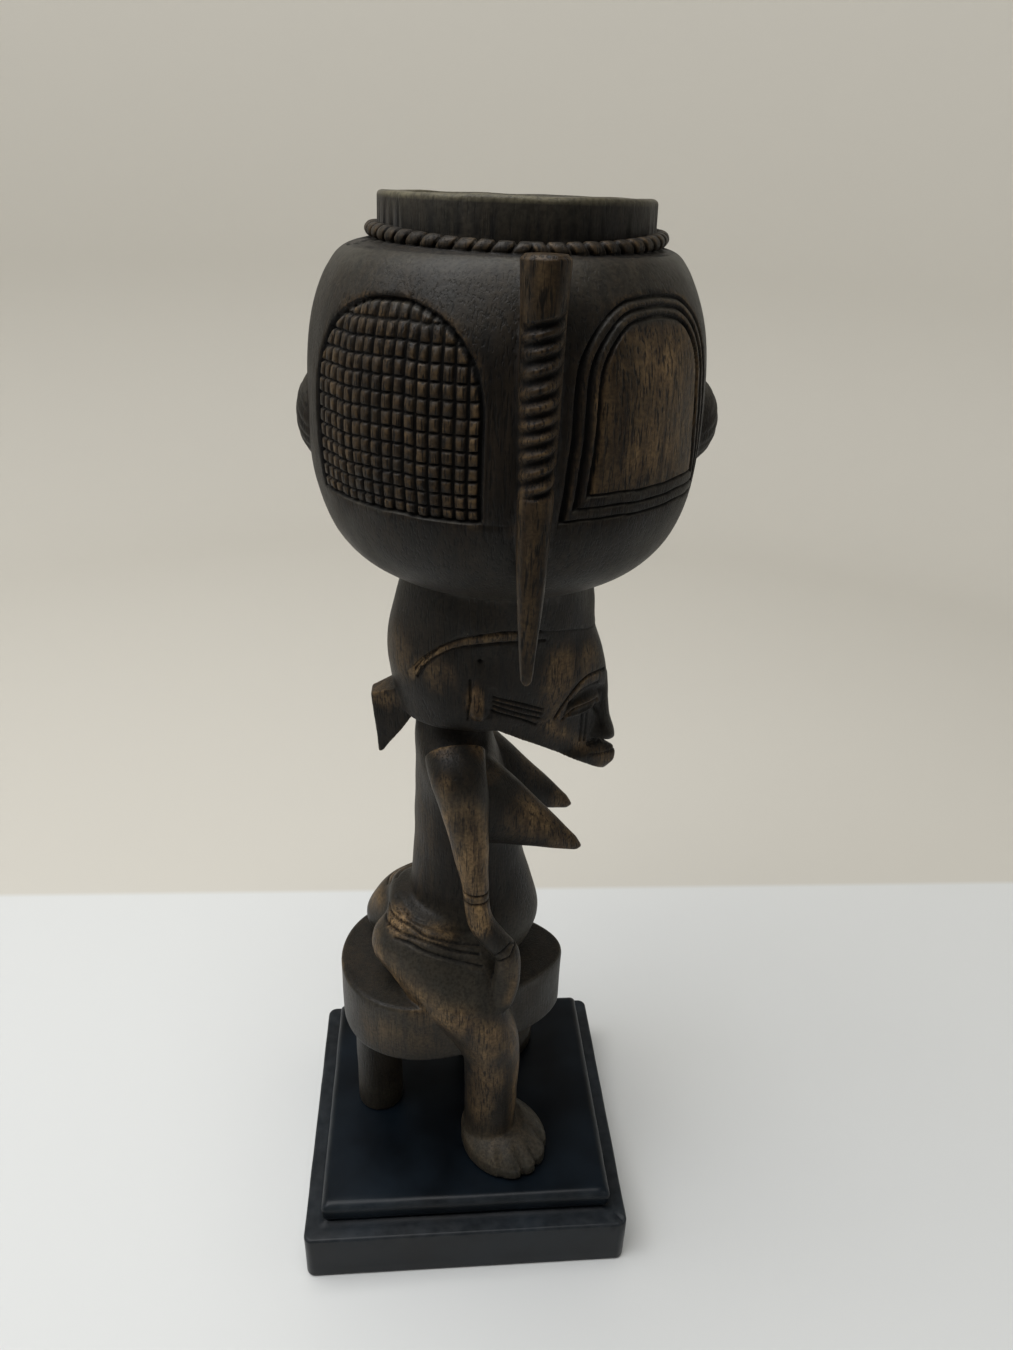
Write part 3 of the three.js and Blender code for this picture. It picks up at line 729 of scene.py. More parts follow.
# Marks on the side in view only: a small hole beside the hair line, and chips at the hip
nearMarks = [
    ([(2, -23.3, 265.6), (2.3, -23.3, 265.4)], 0.55, 1.1),
    ([(-31.5, -14.2, 147.4), (-29.5, -14, 149), (-27.9, -14.5, 149.8)], 0.9, 0.6),
    ([(-25.4, -17.6, 149.4), (-24.4, -19.2, 148.4), (-22.6, -21, 148)], 0.9, 0.5),
    ([(-26.6, -13.2, 151.4), (-24.8, -15.2, 151.2)], 0.9, 0.5),
]
# Edges rubbed to bare wood on both sides: path, half width, strength
wornPaths = [
    ([(-37.5, -8, 141), (-34.5, -18.4, 134.5), (-27, -26, 128.5), (-18, -31.2, 123), (-11, -34.6, 120),
      (-2, -36.8, 116)], 5.6, 1.4),
    ([(26.6, -14.5, 237.3), (30.8, -12.1, 231.7), (34.4, -10.2, 229), (41, -6.2, 222.3),
      (46.5, -4.7, 218.4), (52, -1, 213)], 2.2, 0.7),
    ([(31.6, -12, 236.8), (35.9, -10.9, 240.3), (40.3, -8.6, 241.4), (45, -5.2, 241.4)], 1.2, 0.6),
    ([(30.3, -13.2, 238.4), (33, -13, 244), (36.5, -12, 249), (40, -10, 251.6),
      (44.5, -6.7, 251.4)], 1.3, 0.8),
    ([(19.6, -31.5, 144), (18.4, -33, 138), (16.8, -33.4, 130), (15, -33.4, 124)], 1.8, 0.8),
    ([(20.8, -31, 104), (20.6, -31.4, 90), (20.2, -31.4, 75), (19.8, -31, 58)], 2.6, 0.75),
]


def pathShare(points, normals, path, half, side):
    # the points near a path, and how far inside its line each one is, 0 to 1, measured along the surface
    path = evenly(curveThrough(path, np.linspace(0, 1, 12 * len(path))), 0.5) * [1, side, 1]
    low, high = path.min(0) - 3 * half - 1, path.max(0) + 3 * half + 1
    near = np.flatnonzero((points > low).all(1) & (points < high).all(1))
    gap = points[near][:, None] - path[None]
    above = np.einsum("ijk,ik->ij", gap, normals[near])
    flat = np.sqrt(np.maximum(0, (gap ** 2).sum(2) - above ** 2)) + 10 * (np.abs(above) > 2.5)
    return near, np.exp(-(flat.min(1) / half) ** 2)


def everyMark():
    # path, half width, depth and side of each line
    lines = [(*line, side) for line in carvedLines for side in (1, -1)]
    return lines + [(*line, 1) for line in nearMarks]


carving = {
    # cell sizes in millimetres and rounds of smoothing as the forms are merged
    "hipCell": 0.7, "hipSmoothing": 60, "cell": 0.45, "smoothing": 3,
    "cap": 0.3,  # how far the hair stands out past its line
    "unevenness": 0.18, "unevennessBelow": 0.1, "triangles": 196000,
}


def makeHips():
    # trunk, hips and legs as one soft mass
    halves = [
        limb("leg", leg), limb("hip", hipRoll, frameAxis=(0, 0, 1)),
        makeRound("buttock", (-17, -11.5, 137), (21, 15, 15)),
        makeRound("lap", (2, -24, 126), (12, 9.5, 12)),
    ]
    # the far hip is fuller at the back, as its outline shows
    alone = [levelForm("trunk", trunk), makeRound("far_buttock", (-19.5, 14.5, 129), (22.5, 15, 15.5))]
    hips = joined("hips", alone + halves + [mirrored(thing) for thing in halves])
    applied(hips, "REMESH", mode="VOXEL", voxel_size=carving["hipCell"] * millimetre, adaptivity=0)
    points, _ = arraysOf(hips)
    soft = softened(points, edgesOf(hips), carving["hipSmoothing"])
    level = points[:, 2]
    share = smoothstep(level, 96, 112) * (1 - smoothstep(level, 150, 162))
    setPoints(hips, points + (soft - points) * share[:, None])
    return hips


def makeBody():
    nearSide = [makeEar(), makeBreast(), limb("arm", arm), makeFoot()]
    things = [makeHead(), makeNose(), makeKnot(), makeHips(), *makeStool()]
    body = joined("body", things + nearSide + [mirrored(thing) for thing in nearSide])
    applied(body, "REMESH", mode="VOXEL", voxel_size=carving["cell"] * millimetre, adaptivity=0)
    points, _ = arraysOf(body)
    smooth = softened(points, edgesOf(body), carving["smoothing"])
    level = points[:, 2]
    keep = np.where((level > 118.5) & (level < 121), 0.5, 1)[:, None]  # the seat's edge stays crisper
    points = points + (smooth - points) * keep
    setPoints(body, points)
    normals = normalsOf(body)
    isHead = (level > 206) & (points[:, 0] > -36)
    hairX, _, hairLevel = np.array(carvedLines[0][0] + carvedLines[1][0][1:]).T
    overLine = level - np.interp(points[:, 0], hairX, hairLevel, left=150)
    cap = np.where(points[:, 0] < -21.2, smoothstep(level, 252, 262), smoothstep(overLine, -0.3, 0.6))
    points += normals * (carving["cap"] * cap * isHead * (level > 240))[:, None]
    for path, half, depth, side in everyMark():
        near, share = pathShare(points, normals, path, half, side)
        points[near] -= normals[near] * (depth * share)[:, None]
    # the blade's unevenness, kept off the seat's top and the soles
    below = (level <= 118) & (level > 36)
    points += normals * (carving["unevenness"] * ripple(points, 8, 21) * (level > 121))[:, None]
    points += normals * (carving["unevennessBelow"] * ripple(points, 8, 23) * below)[:, None]
    setPoints(body, points)
    return body


def makeFigure():
    print("vessel")
    figure = makeVessel()
    print("ring, horns, bosses")
    figure = combined(figure, makeRing(), "UNION")
    nearHorn = makeHorn()
    farHorn = mirrored(nearHorn)
    for other in (nearHorn, farHorn, makeBoss(1, 66.3), makeBoss(-1, 63.6)):
        figure = combined(figure, other, "UNION")
    print("body")
    body = makeBody()
    print("union")
    figure = combined(figure, body, "UNION")
    figure.name = figure.data.name = "carved_figure"
    count = len(arraysOf(figure)[1])
    print("triangles before thinning", count)
    applied(figure, "DECIMATE", ratio=carving["triangles"] / count)
    print("triangles", len(arraysOf(figure)[1]))
    return figure


# Places rubbed to brown wood on both sides: x, |y|, level, radii in x, y and z, strength
rubbedPatches = [
    (-10, 28, 217, 7, 8, 9, 0.45), (-3, 31, 203, 12, 9, 15, 1.4), (0, 31, 188, 11, 9, 18, 1.7),
    (2, 32, 165, 8, 8, 10, 1.2), (16, 33, 140, 6, 6, 9, 0.3), (24, 16, 200, 15, 10, 12, 0.6),
    (38, 15, 187, 10, 8, 8, 0.85), (6, 14, 218, 8, 10, 5, 0.4), (-11, 20, 231, 7, 6, 3, 0.8),
    (2, 18, 229, 6, 6, 4, 0.7), (-27, 15, 149.5, 7, 10, 5, 1.0), (-12, 22, 149, 14, 6, 4, 0.4),
    (-15, 32, 119, 10, 8, 8, 0.8), (-5, 36, 118, 10, 8, 10, 1.0), (6, 38, 106, 11, 9, 13, 1.1),
    (17, 33, 103, 7, 9, 14, 0.8), (9, 37, 88, 9, 8, 12, 0.6), (5, 35, 72, 8, 8, 18, 0.4),
    (10, 30, 44, 24, 22, 10, 0.16), (-50, 0, 113, 12, 30, 10, 0.35), (-34, 28, 106, 16, 12, 14, 0.3),
    (0, 32, 106, 40, 10, 12, 0.2), (0.5, 23, 249, 3.6, 4, 8.5, 1.2), (-11, 21, 259, 6, 5, 7, 0.6),
    (-25, 10, 262, 7, 12, 13, 0.3), (30, 17, 257, 9, 7, 13, 0.7), (29, 15, 246, 6, 5, 8, 0.5),
    (41, 10, 259, 7, 7, 9, 0.5), (30, 12, 233, 5, 5, 5, 0.45), (50, 2, 212, 5, 6, 5, 0.7),
    (-30, 3, 242, 8, 6, 5, 0.5), (-18, 8, 190, 6, 14, 40, 0.15), (28, 4, 165, 5, 8, 12, 0.3),
]
wear = {
    # how sharply the surface turns, from no wear, or no grime and painted shade, to full
    "edgeBend": (0.1, 0.42), "hollowBend": (0.08, 0.38),
    # rubbing at the panel's edge, how much more its middle has, and the distance between
    "panel": (0.3, 0.52, 13),
    "tiles": 0.1, "horn": 0.28, "hairBand": 0.8, "farShare": 0.5,
    # dust and painted sheen on the vessel's upward faces, collar and ring, painted reflection of the floor
    # under the bowl, and dust and painted sheen by level below it
    "upward": (0.1, 0.75), "underBowl": 0.35, "collarDustAndSheen": 0.65, "ringDustAndSheen": 0.3,
    "seatDustAndSheen": 0.3, "armDustAndSheen": 0.7,
    "levels": [34, 47, 52, 90, 94, 117, 122, 140, 160],
    "dustAndSheen": [0.8, 0.8, 0.25, 0.2, 0.65, 0.65, 1.0, 0.9, 0.2],
}


def bendOf(thing, points, normals):
    # how sharply the surface turns at each vertex: above 0 in a hollow, below 0 on an edge
    edges = edgesOf(thing)
    first, second = edges.T
    count = len(points)
    span = points[second] - points[first]
    length = np.linalg.norm(span, axis=1) + 1e-9
    rise = np.einsum("ij,ij->i", normals[first], span) / length ** 2
    fall = -np.einsum("ij,ij->i", normals[second], span) / length ** 2
    bend = np.bincount(first, rise, count) + np.bincount(second, fall, count)
    bend /= np.maximum(1, np.bincount(edges.ravel(), minlength=count))
    return averaged(np.clip(bend, -1, 1), edges, count, 1)


def hairBand(x, y, z):
    # the raised band between the two hair lines, 0 to 1, fading towards the face
    band = np.zeros(len(x))
    onHead = (z > 235) & (z < 280) & (np.abs(y) > 4)
    upper, under = (np.array(line[0])[:7, [0, 2]] for line in (carvedLines[0], carvedLines[2]))
    shares = np.linspace(0, 1, 50)
    middle = (curveThrough(upper, shares) + curveThrough(under, shares)) / 2
    band[onHead] = 1 - smoothstep(lineDistance(np.stack([x, z], 1)[onHead], middle), 0.7, 1.9)
    return band * (1 - 0.6 * smoothstep(x, 0, 26))


def describeSurface(thing):
    # per-vertex values that the finish reads: edge wear, hollows that get grime and painted shade, rubbed
    # wood, and dust with painted sheen and reflection
    w, a, s = wear, arches, squares
    points, _ = arraysOf(thing)
    normals = normalsOf(thing)
    x, y, z = points.T
    aside = np.abs(y)
    turn = np.degrees(np.arctan2(y, x - vessel["axis"]))
    radius = np.hypot(y, x - vessel["axis"])
    onWall = (z > 320) & (z < 380) & (radius > 55) & (radius < 61.5)
    onRing = (z > 384) & (z < 393) & (radius > 36.5) & (radius < 46.5)
    onHorn = (np.hypot(aside - horn["y"], x - horn["x"]) < 6.6) & (z < 389)
    onSeat = (np.abs(z - seat["top"]) < 1) & (normals[:, 2] > 0.8)
    onArm = (aside > 24) & (z > 160)
    bend = bendOf(thing, points, normals)
    setAttribute(thing, "edge", smoothstep(-bend, *w["edgeBend"]))

    # hollows, from the surface's bend and from the same formulas that cut them: they get black grime and
    # painted shade
    around = np.arctan2(z - ring["level"] + 1.5, radius - ring["radius"] - 1)
    hornTurn = np.arctan2(horn["y"] - aside, x - horn["x"])
    deep = np.maximum.reduce([
        smoothstep(bend, *w["hollowBend"]),
        smoothstep(vesselRelief(turn, z)[1] * onWall, 0.25, 0.85),
        ringGap(np.radians(turn), around)[2] * onRing,
        smoothstep(hornGroove(hornTurn, z)[1] * onHorn, 0.15, 0.7),
    ])
    for path, half, depth, side in everyMark():
        if depth > 0 and half <= 0.8:
            near, share = pathShare(points, normals, path, half, side)
            strength = 0.6 if path[0][2] < 155 or depth < 0.57 else 0.9
            deep[near] = np.maximum(deep[near], smoothstep(share, 0.2, 0.85) * strength)
    setAttribute(thing, "hollow", deep)

    # brown wood
    rubbed = np.zeros(len(points))
    folded = np.stack([x, aside, z], 1)
    for *middle, radiusX, radiusY, radiusZ, strength in rubbedPatches:
        gap = np.linalg.norm((folded - middle) / [radiusX, radiusY, radiusZ], axis=1)
        rubbed = np.maximum(rubbed, strength * (1 - smoothstep(gap, 0.35, 1.15)))
    for path, half, strength in wornPaths:
        for side, part in ((1, 1), (-1, w["farShare"])):
            near, share = pathShare(points, normals, path, half, side)
            rubbed[near] = np.maximum(rubbed[near], strength * part * share)
    rubbed = np.where(onSeat, 0.1 * rubbed, rubbed)
    halfWidth, rise, bottom = a["panel"]
    inset = archInset(-np.abs(turn), z, a, halfWidth, rise)
    inset = np.minimum(inset, z - bottom)
    panel = smoothstep(inset, -0.6, 0.5) * onWall
    atEdge, more, reach = w["panel"]
    rubbed = np.maximum(rubbed, panel * (atEdge + more * smoothstep(inset, 0, reach)))
    tiles = archInset(-np.abs(turn), z, s, s["halfWidth"], s["rise"])
    tiles = smoothstep(np.minimum(tiles, z - s["bottom"]), 0, 2) * onWall
    rubbed = np.maximum(rubbed, w["tiles"] * tiles)
    onHorn &= (radius > np.interp(z, *np.array(vessel["outside"]).T[::-1]) + 0.8) | (z < 300)
    rubbed = np.maximum(rubbed, w["horn"] * onHorn)
    setAttribute(thing, "rubbed", np.maximum(rubbed, w["hairBand"] * hairBand(x, y, z)))

    # dust with painted sheen: paler on upward faces, on the collar and ring, and by level on the figure
    # below the vessel
    # the bowl's underside is paler: painted reflection of the pale floor, with dust
    underBowl = w["underBowl"] * (1 - smoothstep(z, 312, 322))
    grey = np.maximum(smoothstep(normals[:, 2], *w["upward"]), underBowl)
    grey = np.where(z > 388.5, w["collarDustAndSheen"], grey)
    grey = np.where(onRing, w["ringDustAndSheen"], grey)
    grey *= (~onHorn) * (1 - panel) * (1 - 0.7 * tiles)
    low = np.interp(z, w["levels"], w["dustAndSheen"])
    low = np.where(onSeat, w["seatDustAndSheen"], low)
    upperArm = smoothstep(z, 165, 180) * (1 - smoothstep(z, 212, 224))
    low = np.where(onArm, 0.2 + w["armDustAndSheen"] * upperArm, low)
    low *= 1 - 0.65 * np.clip(rubbed, 0, 1)
    setAttribute(thing, "grey", np.where(z < 286, low, grey))


def addNode(tree, kind, values=None, output=0, **settings):
    # one shader node with its settings and its input values or links; returns one of its outputs
    node = tree.nodes.new("ShaderNode" + kind)
    for key, value in settings.items():
        setattr(node, key, value)
    for key, value in (values or {}).items():
        socket = node.inputs[key]
        if isinstance(value, bpy.types.NodeSocket):
            tree.links.new(value, socket)
        else:
            socket.default_value = value
    return node.outputs[output] if node.outputs else node


def layered(tree, ground, *layers):
    # lays each colour over what is below it; its share is the product of its factors
    for colour, share, *factors in layers:
        for factor in factors:
            share = addNode(tree, "Math", {0: share, 1: factor}, operation="MULTIPLY")
        ground = addNode(tree, "Mix", {0: share, 6: ground, 7: colour}, 2, data_type="RGBA")
    return ground


def newMaterial(name):
    material = bpy.data.materials.new(name)
    material.use_nodes = True
    material.node_tree.nodes.clear()
    return material, material.node_tree


woodFinish = {
    "dark": "#060504", "mid": "#130f0b", "rubbed": "#5e4932", "pale": "#a08259",
    "dustAndSheen": "#58554b", "deep": "#010101", "rim": "#6b6551", "fleck": "#a8a294",
    # sizes in millimetres across and along the grain, and detail
    "noises": {
        "pore": (0.64, 6, 2), "grain": (3, 48, 5), "blotch": (14, 20, 4), "cloud": (40, 60, 3),
        "speck": (1.2, 1.2, 3),
    },
    # noise, the values a mask runs between, and the mask's own values there
    "pores": ("pore", 0.36, 0.47, 1, 0), "fibre": ("grain", 0.33, 0.67, 0, 1),
    "patchy": ("blotch", 0.3, 0.6, 0.2, 1), "speckled": ("speck", 0.35, 0.6, 0.5, 1),
    "cloudy": ("cloud", 0.35, 0.65, 0.3, 1), "roughness": ("blotch", 0.3, 0.7, 0.39, 0.56),
    # the share of black in the hollows is grime and painted shade; the share of grey is dust and painted
    # sheen
    "edgeWear": 0.4, "wearAnywhere": 0.04, "wearLimit": 0.85, "dustAndSheenShare": 0.44, "grimeAndShade": 0.92,
    "poreGrime": 0.4, "specular": 0.17, "bump": 0.5, "rimFrom": 0.3977, "rimTo": 0.3986, "rimShare": 0.75,
}


def carvedWood():
    # Dark hardwood, knife-finished, oiled and blackened by handling: near black with a soft grey sheen,
    # brown where hands have rubbed it, with fine upright pores.
    # Part of the grey sheen is painted into the colour with the dust, and the hollows carry painted shade
    # with the grime
    f = woodFinish
    material, tree = newMaterial("blackened_hardwood_handled_patina")
    place = addNode(tree, "TexCoord", output="Object")
    noise = {}
    for name, (width, length, detail) in f["noises"].items():
        scale = (1000 / width, 1000 / width, 1000 / length)
        scaled = addNode(tree, "Mapping", {"Vector": place, "Scale": scale})
        noise[name] = addNode(tree, "TexNoise", {
            "Vector": scaled, "Scale": 1.0, "Detail": detail, "Roughness": 0.55}, "Fac")
    masks = []
    for name in ("pores", "fibre", "patchy", "speckled", "cloudy", "roughness"):
        source, low, high, start, end = f[name]
        masks.append(addNode(tree, "MapRange", {
            "Value": noise[source], "From Min": low, "From Max": high, "To Min": start, "To Max": end}))
    pore, fibre, patchy, speckled, cloudy, rough = masks
    edge, hollow, rubbed, grey = (addNode(tree, "Attribute", None, "Fac", attribute_name=name)
                                  for name in ("edge", "hollow", "rubbed", "grey"))
    tone = {name: linear(value) for name, value in f.items() if str(value).startswith("#")}
    clear = addNode(tree, "Math", {0: grey, 1: -0.8, 2: 1.0}, operation="MULTIPLY_ADD")
    pore = addNode(tree, "Math", {0: pore, 1: clear}, operation="MULTIPLY")

    # brown wood where it is worn, grey dust with painted sheen, black grime and painted shade in the cuts,
    # black grime in the pores
    brown = layered(tree, tone["rubbed"], (tone["pale"], fibre), (tone["dark"], pore, 0.85))
    worn = addNode(tree, "Math", {0: edge, 1: f["edgeWear"], 2: rubbed}, operation="MULTIPLY_ADD")
    worn = addNode(tree, "Math", {0: worn, 1: f["wearAnywhere"]}, operation="ADD")
    worn = addNode(tree, "Math", {0: worn, 1: patchy}, operation="MULTIPLY")
    worn = addNode(tree, "Math", {0: worn, 1: speckled}, operation="MULTIPLY", use_clamp=True)
    ground = layered(
        tree, tone["dark"], (tone["mid"], fibre), (brown, worn, f["wearLimit"]),
        # grey layer: dust and painted sheen
        (tone["dustAndSheen"], cloudy, speckled, grey, f["dustAndSheenShare"]),
        # black grime and painted shade in the hollows, then black grime in the pores
        (tone["deep"], hollow, f["grimeAndShade"]), (tone["deep"], pore, f["poreGrime"]))

    # the mouth's worn rim, and a few pale flecks
    level = addNode(tree, "SeparateXYZ", {"Vector": place}, "Z")
    rim = addNode(tree, "MapRange", {
        "Value": level, "From Min": f["rimFrom"], "From Max": f["rimTo"], "To Max": f["rimShare"]})
    cells = {"Vector": place, "Scale": 130.0}
    near = addNode(tree, "TexVoronoi", cells, "Distance")
    chosen = addNode(tree, "TexVoronoi", cells, "Color")
    chosen = addNode(tree, "Math", {0: chosen, 1: 0.84}, operation="GREATER_THAN")
    fleck = addNode(tree, "MapRange", {
        "Value": near, "From Min": 0.03, "From Max": 0.055, "To Min": 0.8, "To Max": 0.0})
    ground = layered(tree, ground, (tone["rim"], rim, speckled, cloudy), (tone["fleck"], fleck, chosen))

    rough = addNode(tree, "Math", {0: hollow, 1: 0.35, 2: rough}, operation="MULTIPLY_ADD")
    # each pore is a pit; the fine noise is the wood's tooth between them
    relief = addNode(tree, "Math", {0: pore, 1: -1.2, 2: noise["speck"]}, operation="MULTIPLY_ADD")
    bump = addNode(tree, "Bump", {
        "Height": relief, "Strength": f["bump"], "Distance": 0.0002}, "Normal")
    shader = addNode(tree, "BsdfPrincipled", {
        "Base Color": ground, "Roughness": rough, "Normal": bump, "Specular IOR Level": f["specular"]})
    addNode(tree, "OutputMaterial", {"Surface": shader})
    return material


lacquerFinish = {
    "dark": "#03060a", "blue": "#0e161d", "worn": "#4e5153", "cloud": 30, "fine": 4,
    "roughness": 0.33, "specular": 0.17, "bump": 0.04,
}


def blackLacquer():
    # Black lacquer over wood, satin, with a faint blue cast: it mirrors the pale room softly and greys
    # at its edges
    f = lacquerFinish
    material, tree = newMaterial("black_satin_lacquer_on_wood")
    place = addNode(tree, "TexCoord", output="Object")
    clouds, fine = (addNode(tree, "TexNoise", {
        "Vector": place, "Scale": 1000 / f[name], "Detail": 4.0}, "Fac") for name in ("cloud", "fine"))
    edge = addNode(tree, "Attribute", None, "Fac", attribute_name="edge")
    patchy = addNode(tree, "MapRange", {"Value": clouds, "From Min": 0.35, "From Max": 0.7})
    broken = addNode(tree, "MapRange", {
        "Value": fine, "From Min": 0.3, "From Max": 0.65, "To Min": 0.3})
    ground = layered(
        tree, linear(f["dark"]), (linear(f["blue"]), patchy), (linear(f["worn"]), edge, broken))
    rough = f["roughness"] - 0.05
    for mask, share in ((clouds, 0.1), (edge, 0.3)):
        rough = addNode(tree, "Math", {0: mask, 1: share, 2: rough}, operation="MULTIPLY_ADD")
    bump = addNode(tree, "Bump", {
        "Height": fine, "Strength": f["bump"], "Distance": 0.0004}, "Normal")
    shader = addNode(tree, "BsdfPrincipled", {
        "Base Color": ground, "Roughness": rough, "Normal": bump, "Specular IOR Level": f["specular"]})
    addNode(tree, "OutputMaterial", {"Surface": shader})
    return material


plinth = {
    "length": 132.4, "width": 121, "corner": 3.5, "lower": 23.5, "ledge": 6.9, "groove": 1.4,
    "grooveHeight": 1.2, "upper": 9.6, "lowerRound": 1.2, "upperRound": 3.2,
    "dents": [  # x, y, level, radius, depth
        (64.4, -58.9, 23.2, 1.7, 1.0), (60.5, -59.4, 23.3, 1.2, 0.5), (57.6, -52.4, 33.4, 1.6, 0.7),
        (-64.6, -58.8, 3, 1.4, 0.5),
    ],
}


def plinthSection():
    # inset and level, from the underside round both steps to the top
    p = plinth
    quarter = np.radians(np.linspace(0, 90, 9))

    def step(bottom, top, inset, edge):
        low = [(inset + edge - edge * math.sin(q), bottom + edge - edge * math.cos(q)) for q in quarter]
        high = [(inset + edge - edge * math.cos(q), top - edge + edge * math.sin(q)) for q in quarter]
        middle = [(inset, z) for z in np.linspace(bottom + edge, top - edge, 5)[1:-1]]
        return low + middle + high

    groove, bottom = p["ledge"] + p["groove"], p["lower"] + p["grooveHeight"]
    top = bottom + p["upper"]
    section = [(14, 0), *step(0, p["lower"], 0, p["lowerRound"]), (p["ledge"] - 2, p["lower"])]
    section += [(groove - 0.2, p["lower"]), (groove, p["lower"] + 0.2), (groove, bottom - 0.2)]
    section += step(bottom, top, p["ledge"], p["upperRound"])[5:]
    return section + [(p["ledge"] + 5, top), (p["ledge"] + 14, top)]


def plinthOutline(inset):
    # a rectangle with rounded corners and finely divided sides
    p = plinth
    corner = max(p["corner"] - inset * 0.2, 0.8) + max(0, inset - p["ledge"] - 2) * 0.2
    halfX, halfY = p["length"] / 2 - inset - corner, p["width"] / 2 - inset - corner
    line = []
    for signX, signY, start in ((1, 1, 0), (-1, 1, 90), (-1, -1, 180), (1, -1, 270)):
        for q in np.radians(np.linspace(start, start + 90, 13)):
            line.append((signX * halfX + corner * math.cos(q), signY * halfY + corner * math.sin(q)))
    filled = []
    for a, b in zip(np.array(line), np.roll(line, -1, axis=0)):
        parts = 60 if np.linalg.norm(b - a) > 20 else 1
        filled += [a + (b - a) * k / parts for k in range(parts)]
    return np.array(filled)


def makePlinth():
    p = plinth
    rows = []
    for inset, level in plinthSection():
        outline = plinthOutline(inset)
        rows.append(np.column_stack([outline, np.full(len(outline), level)]))
    thing = closedSkin("stepped_plinth", np.array(rows))
    points, _ = arraysOf(thing)
    normals = normalsOf(thing)
    uneven = 0.06 * ripple(points, 14, 31) + 0.03 * ripple(points, 4, 32)
    points += normals * (uneven * (points[:, 2] > 1.5))[:, None]
    for x, y, z, radius, depth in p["dents"]:
        gap = np.linalg.norm(points - [x, y, z], axis=1)
        points -= normals * (depth * np.exp(-(gap / radius) ** 2))[:, None]
    setPoints(thing, points)

    # grey wear along the edges of both steps and on the ledge
    x, y, z = arraysOf(thing)[0].T
    beyond = np.maximum(np.abs(x) - p["length"] / 2, np.abs(y) - p["width"] / 2)
    edgeLow = 0.3 * np.exp(-((z - 23) / 0.8) ** 2) * (beyond > -2)
    edgeHigh = 0.2 * np.exp(-((z - 33) / 1.2) ** 2) * (beyond > -8.5)
    ledge = 0.2 * (np.abs(z - p["lower"]) < 0.6) * (beyond > -7.5)
    setAttribute(thing, "edge", np.maximum.reduce([edgeLow, edgeHigh, ledge]))
    return thing


def finishOn(thing, material):
    thing.data.materials.clear()
    thing.data.materials.append(material)
    thing.data.shade_smooth()
    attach(thing, "root")


figure = makeFigure()
print("surface")
describeSurface(figure)
finishOn(figure, carvedWood())
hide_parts("figure")

print("plinth")
block = makePlinth()
finishOn(block, blackLacquer())
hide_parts("plinth")

print("stage")
stage = {
    "radius": 1150, "bend": 300, "height": 1100,
    "floorColour": "#d2d3d1", "farColour": "#c6c2b8", "frontColour": "#77746f",
    # metres ahead where the tones change, and the turn of that direction in degrees
    "farFrom": 0.176, "farTurn": -1.1, "frontFrom": -0.3, "frontTo": -0.6,
}


def palePaint():
    # Matt pale paint: a white floor, warmer and darker behind the figure, and grey on the camera's side,
    # which keeps the wood's dark faces dark
    s = stage
    material, tree = newMaterial("matt_pale_paint")
    place = addNode(tree, "TexCoord", output="Object")
    lean = math.radians(s["farTurn"])
    ahead = addNode(tree, "VectorMath", {
        0: place, 1: (-math.sin(lean), math.cos(lean), 0)}, "Value", operation="DOT_PRODUCT")
    far = addNode(tree, "MapRange", {
        "Value": ahead, "From Min": s["farFrom"] - 0.001, "From Max": s["farFrom"] + 0.003})
    front = addNode(tree, "MapRange", {
        "Value": ahead, "From Min": s["frontFrom"], "From Max": s["frontTo"]})
    colour = layered(
        tree, linear(s["floorColour"]), (linear(s["farColour"]), far), (linear(s["frontColour"]), front))
    shader = addNode(tree, "BsdfPrincipled", {"Base Color": colour, "Roughness": 0.75})
    addNode(tree, "OutputMaterial", {"Surface": shader})
    return material


def makeStage():
    # a floor that curves up into a round backdrop, open at the top
    s = stage
    middle = s["radius"] - s["bend"]
    line = [(1, 0), (150, 0), (450, 0)]
    for q in np.radians(np.linspace(0, 90, 16)):
        line.append((middle + s["bend"] * math.sin(q), s["bend"] * (1 - math.cos(q))))
    line = np.array(line + [(s["radius"], s["height"])])
    turn = fullTurn(120)
    radius, angle = np.meshgrid(line[:, 0], turn, indexing="ij")
    level = np.repeat(line[:, 1:], len(turn), 1) - 0.02
    points = np.stack([radius * np.cos(angle), radius * np.sin(angle), level], -1).reshape(-1, 3)
    i, j = np.meshgrid(np.arange(len(line) - 1), np.arange(len(turn)), indexing="ij")
    a, b, c, d = cornersOf(i, j, i + 1, (j + 1) % len(turn), len(turn))
    thing = meshFrom("floor_and_backdrop", points, np.stack([a, d, c, b], 1))
    thing.data.shade_smooth()
    thing.data.materials.append(palePaint())
    return thing


makeStage()

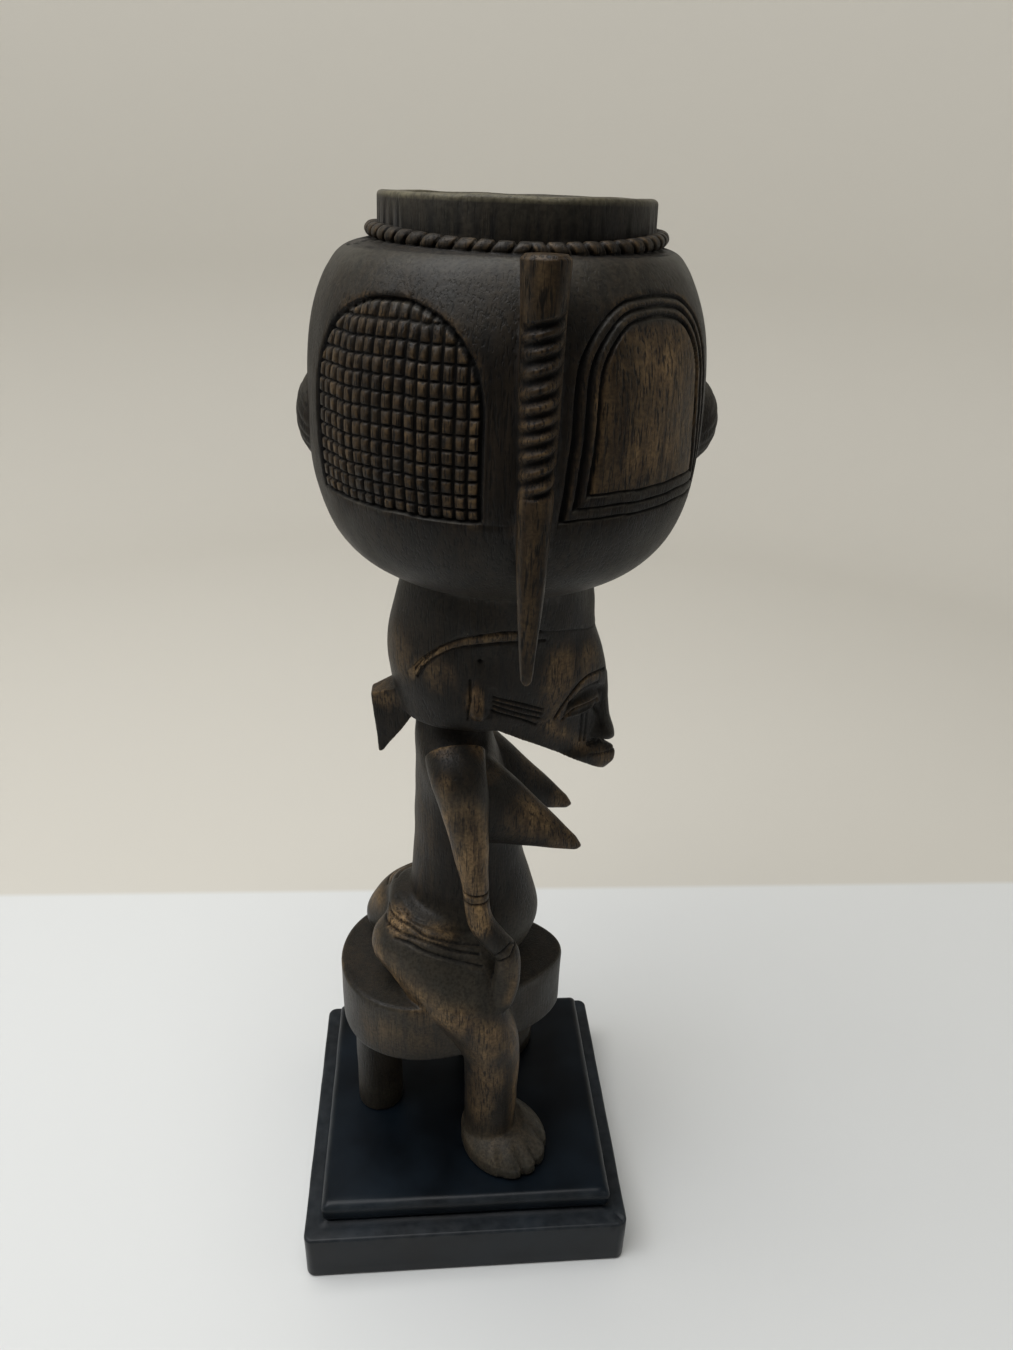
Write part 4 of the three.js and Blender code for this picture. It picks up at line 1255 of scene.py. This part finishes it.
# a wide pale ceiling light, and a softer one from the camera's left
lights = [
    # name, place and aim in metres, size, watts, colour
    ("ceiling_light", (-0.3, -0.1, 1.5), (0, 0, 0.1), 1.2, 24, "#ffffff"),
    ("window_light", (-1.0, -0.4, 1.2), (0, 0, 0.2), 0.7, 6, "#eef3ff"),
]


def placeBy(thing, axes, place):
    thing.matrix_world = Matrix([[*row, at] for row, at in zip(axes, place)] + [[0, 0, 0, 1]])


def makeLight(name, place, target, size, watts, colour):
    data = bpy.data.lights.new(name, "AREA")
    data.shape = "SQUARE"
    data.size = size
    data.energy = watts
    data.color = linear(colour)[:3]
    thing = newThing(name, data)
    back = np.array(place, float) - np.array(target, float)
    back /= np.linalg.norm(back)
    side = np.cross([0, 0, 1], back)
    side /= np.linalg.norm(side)
    placeBy(thing, np.stack([side, np.cross(back, side), back], 1), place)
    return thing


for light in lights:
    makeLight(*light)

world = bpy.data.worlds.new("pale_room")
bpy.context.scene.world = world
world.use_nodes = True
world.node_tree.nodes["Background"].inputs["Color"].default_value = linear("#e8eaec")
world.node_tree.nodes["Background"].inputs["Strength"].default_value = 0.06

camera = {
    "place": (-0.01456, -0.29237, 0.40144), "yaw": 5.39, "down": 27.56, "roll": -2.13,
    "lens": 24.96, "sensor": 36,
}


def makeCamera():
    yaw, down, roll = (math.radians(camera[key]) for key in ("yaw", "down", "roll"))
    ahead = np.array([math.sin(yaw) * math.cos(down), math.cos(yaw) * math.cos(down), -math.sin(down)])
    right = np.array([math.cos(yaw), -math.sin(yaw), 0])
    low = np.cross(ahead, right)
    lean, rise = math.sin(roll), math.cos(roll)
    right, low = right * rise + low * lean, low * rise - right * lean
    data = bpy.data.cameras.new("view")
    data.lens = camera["lens"]
    data.sensor_width = camera["sensor"]
    data.sensor_fit = "AUTO"
    thing = newThing("view", data)
    placeBy(thing, np.stack([right, -low, -ahead], 1), camera["place"])
    return thing


bpy.context.scene.camera = makeCamera()
bpy.context.scene.view_settings.view_transform = "Standard"
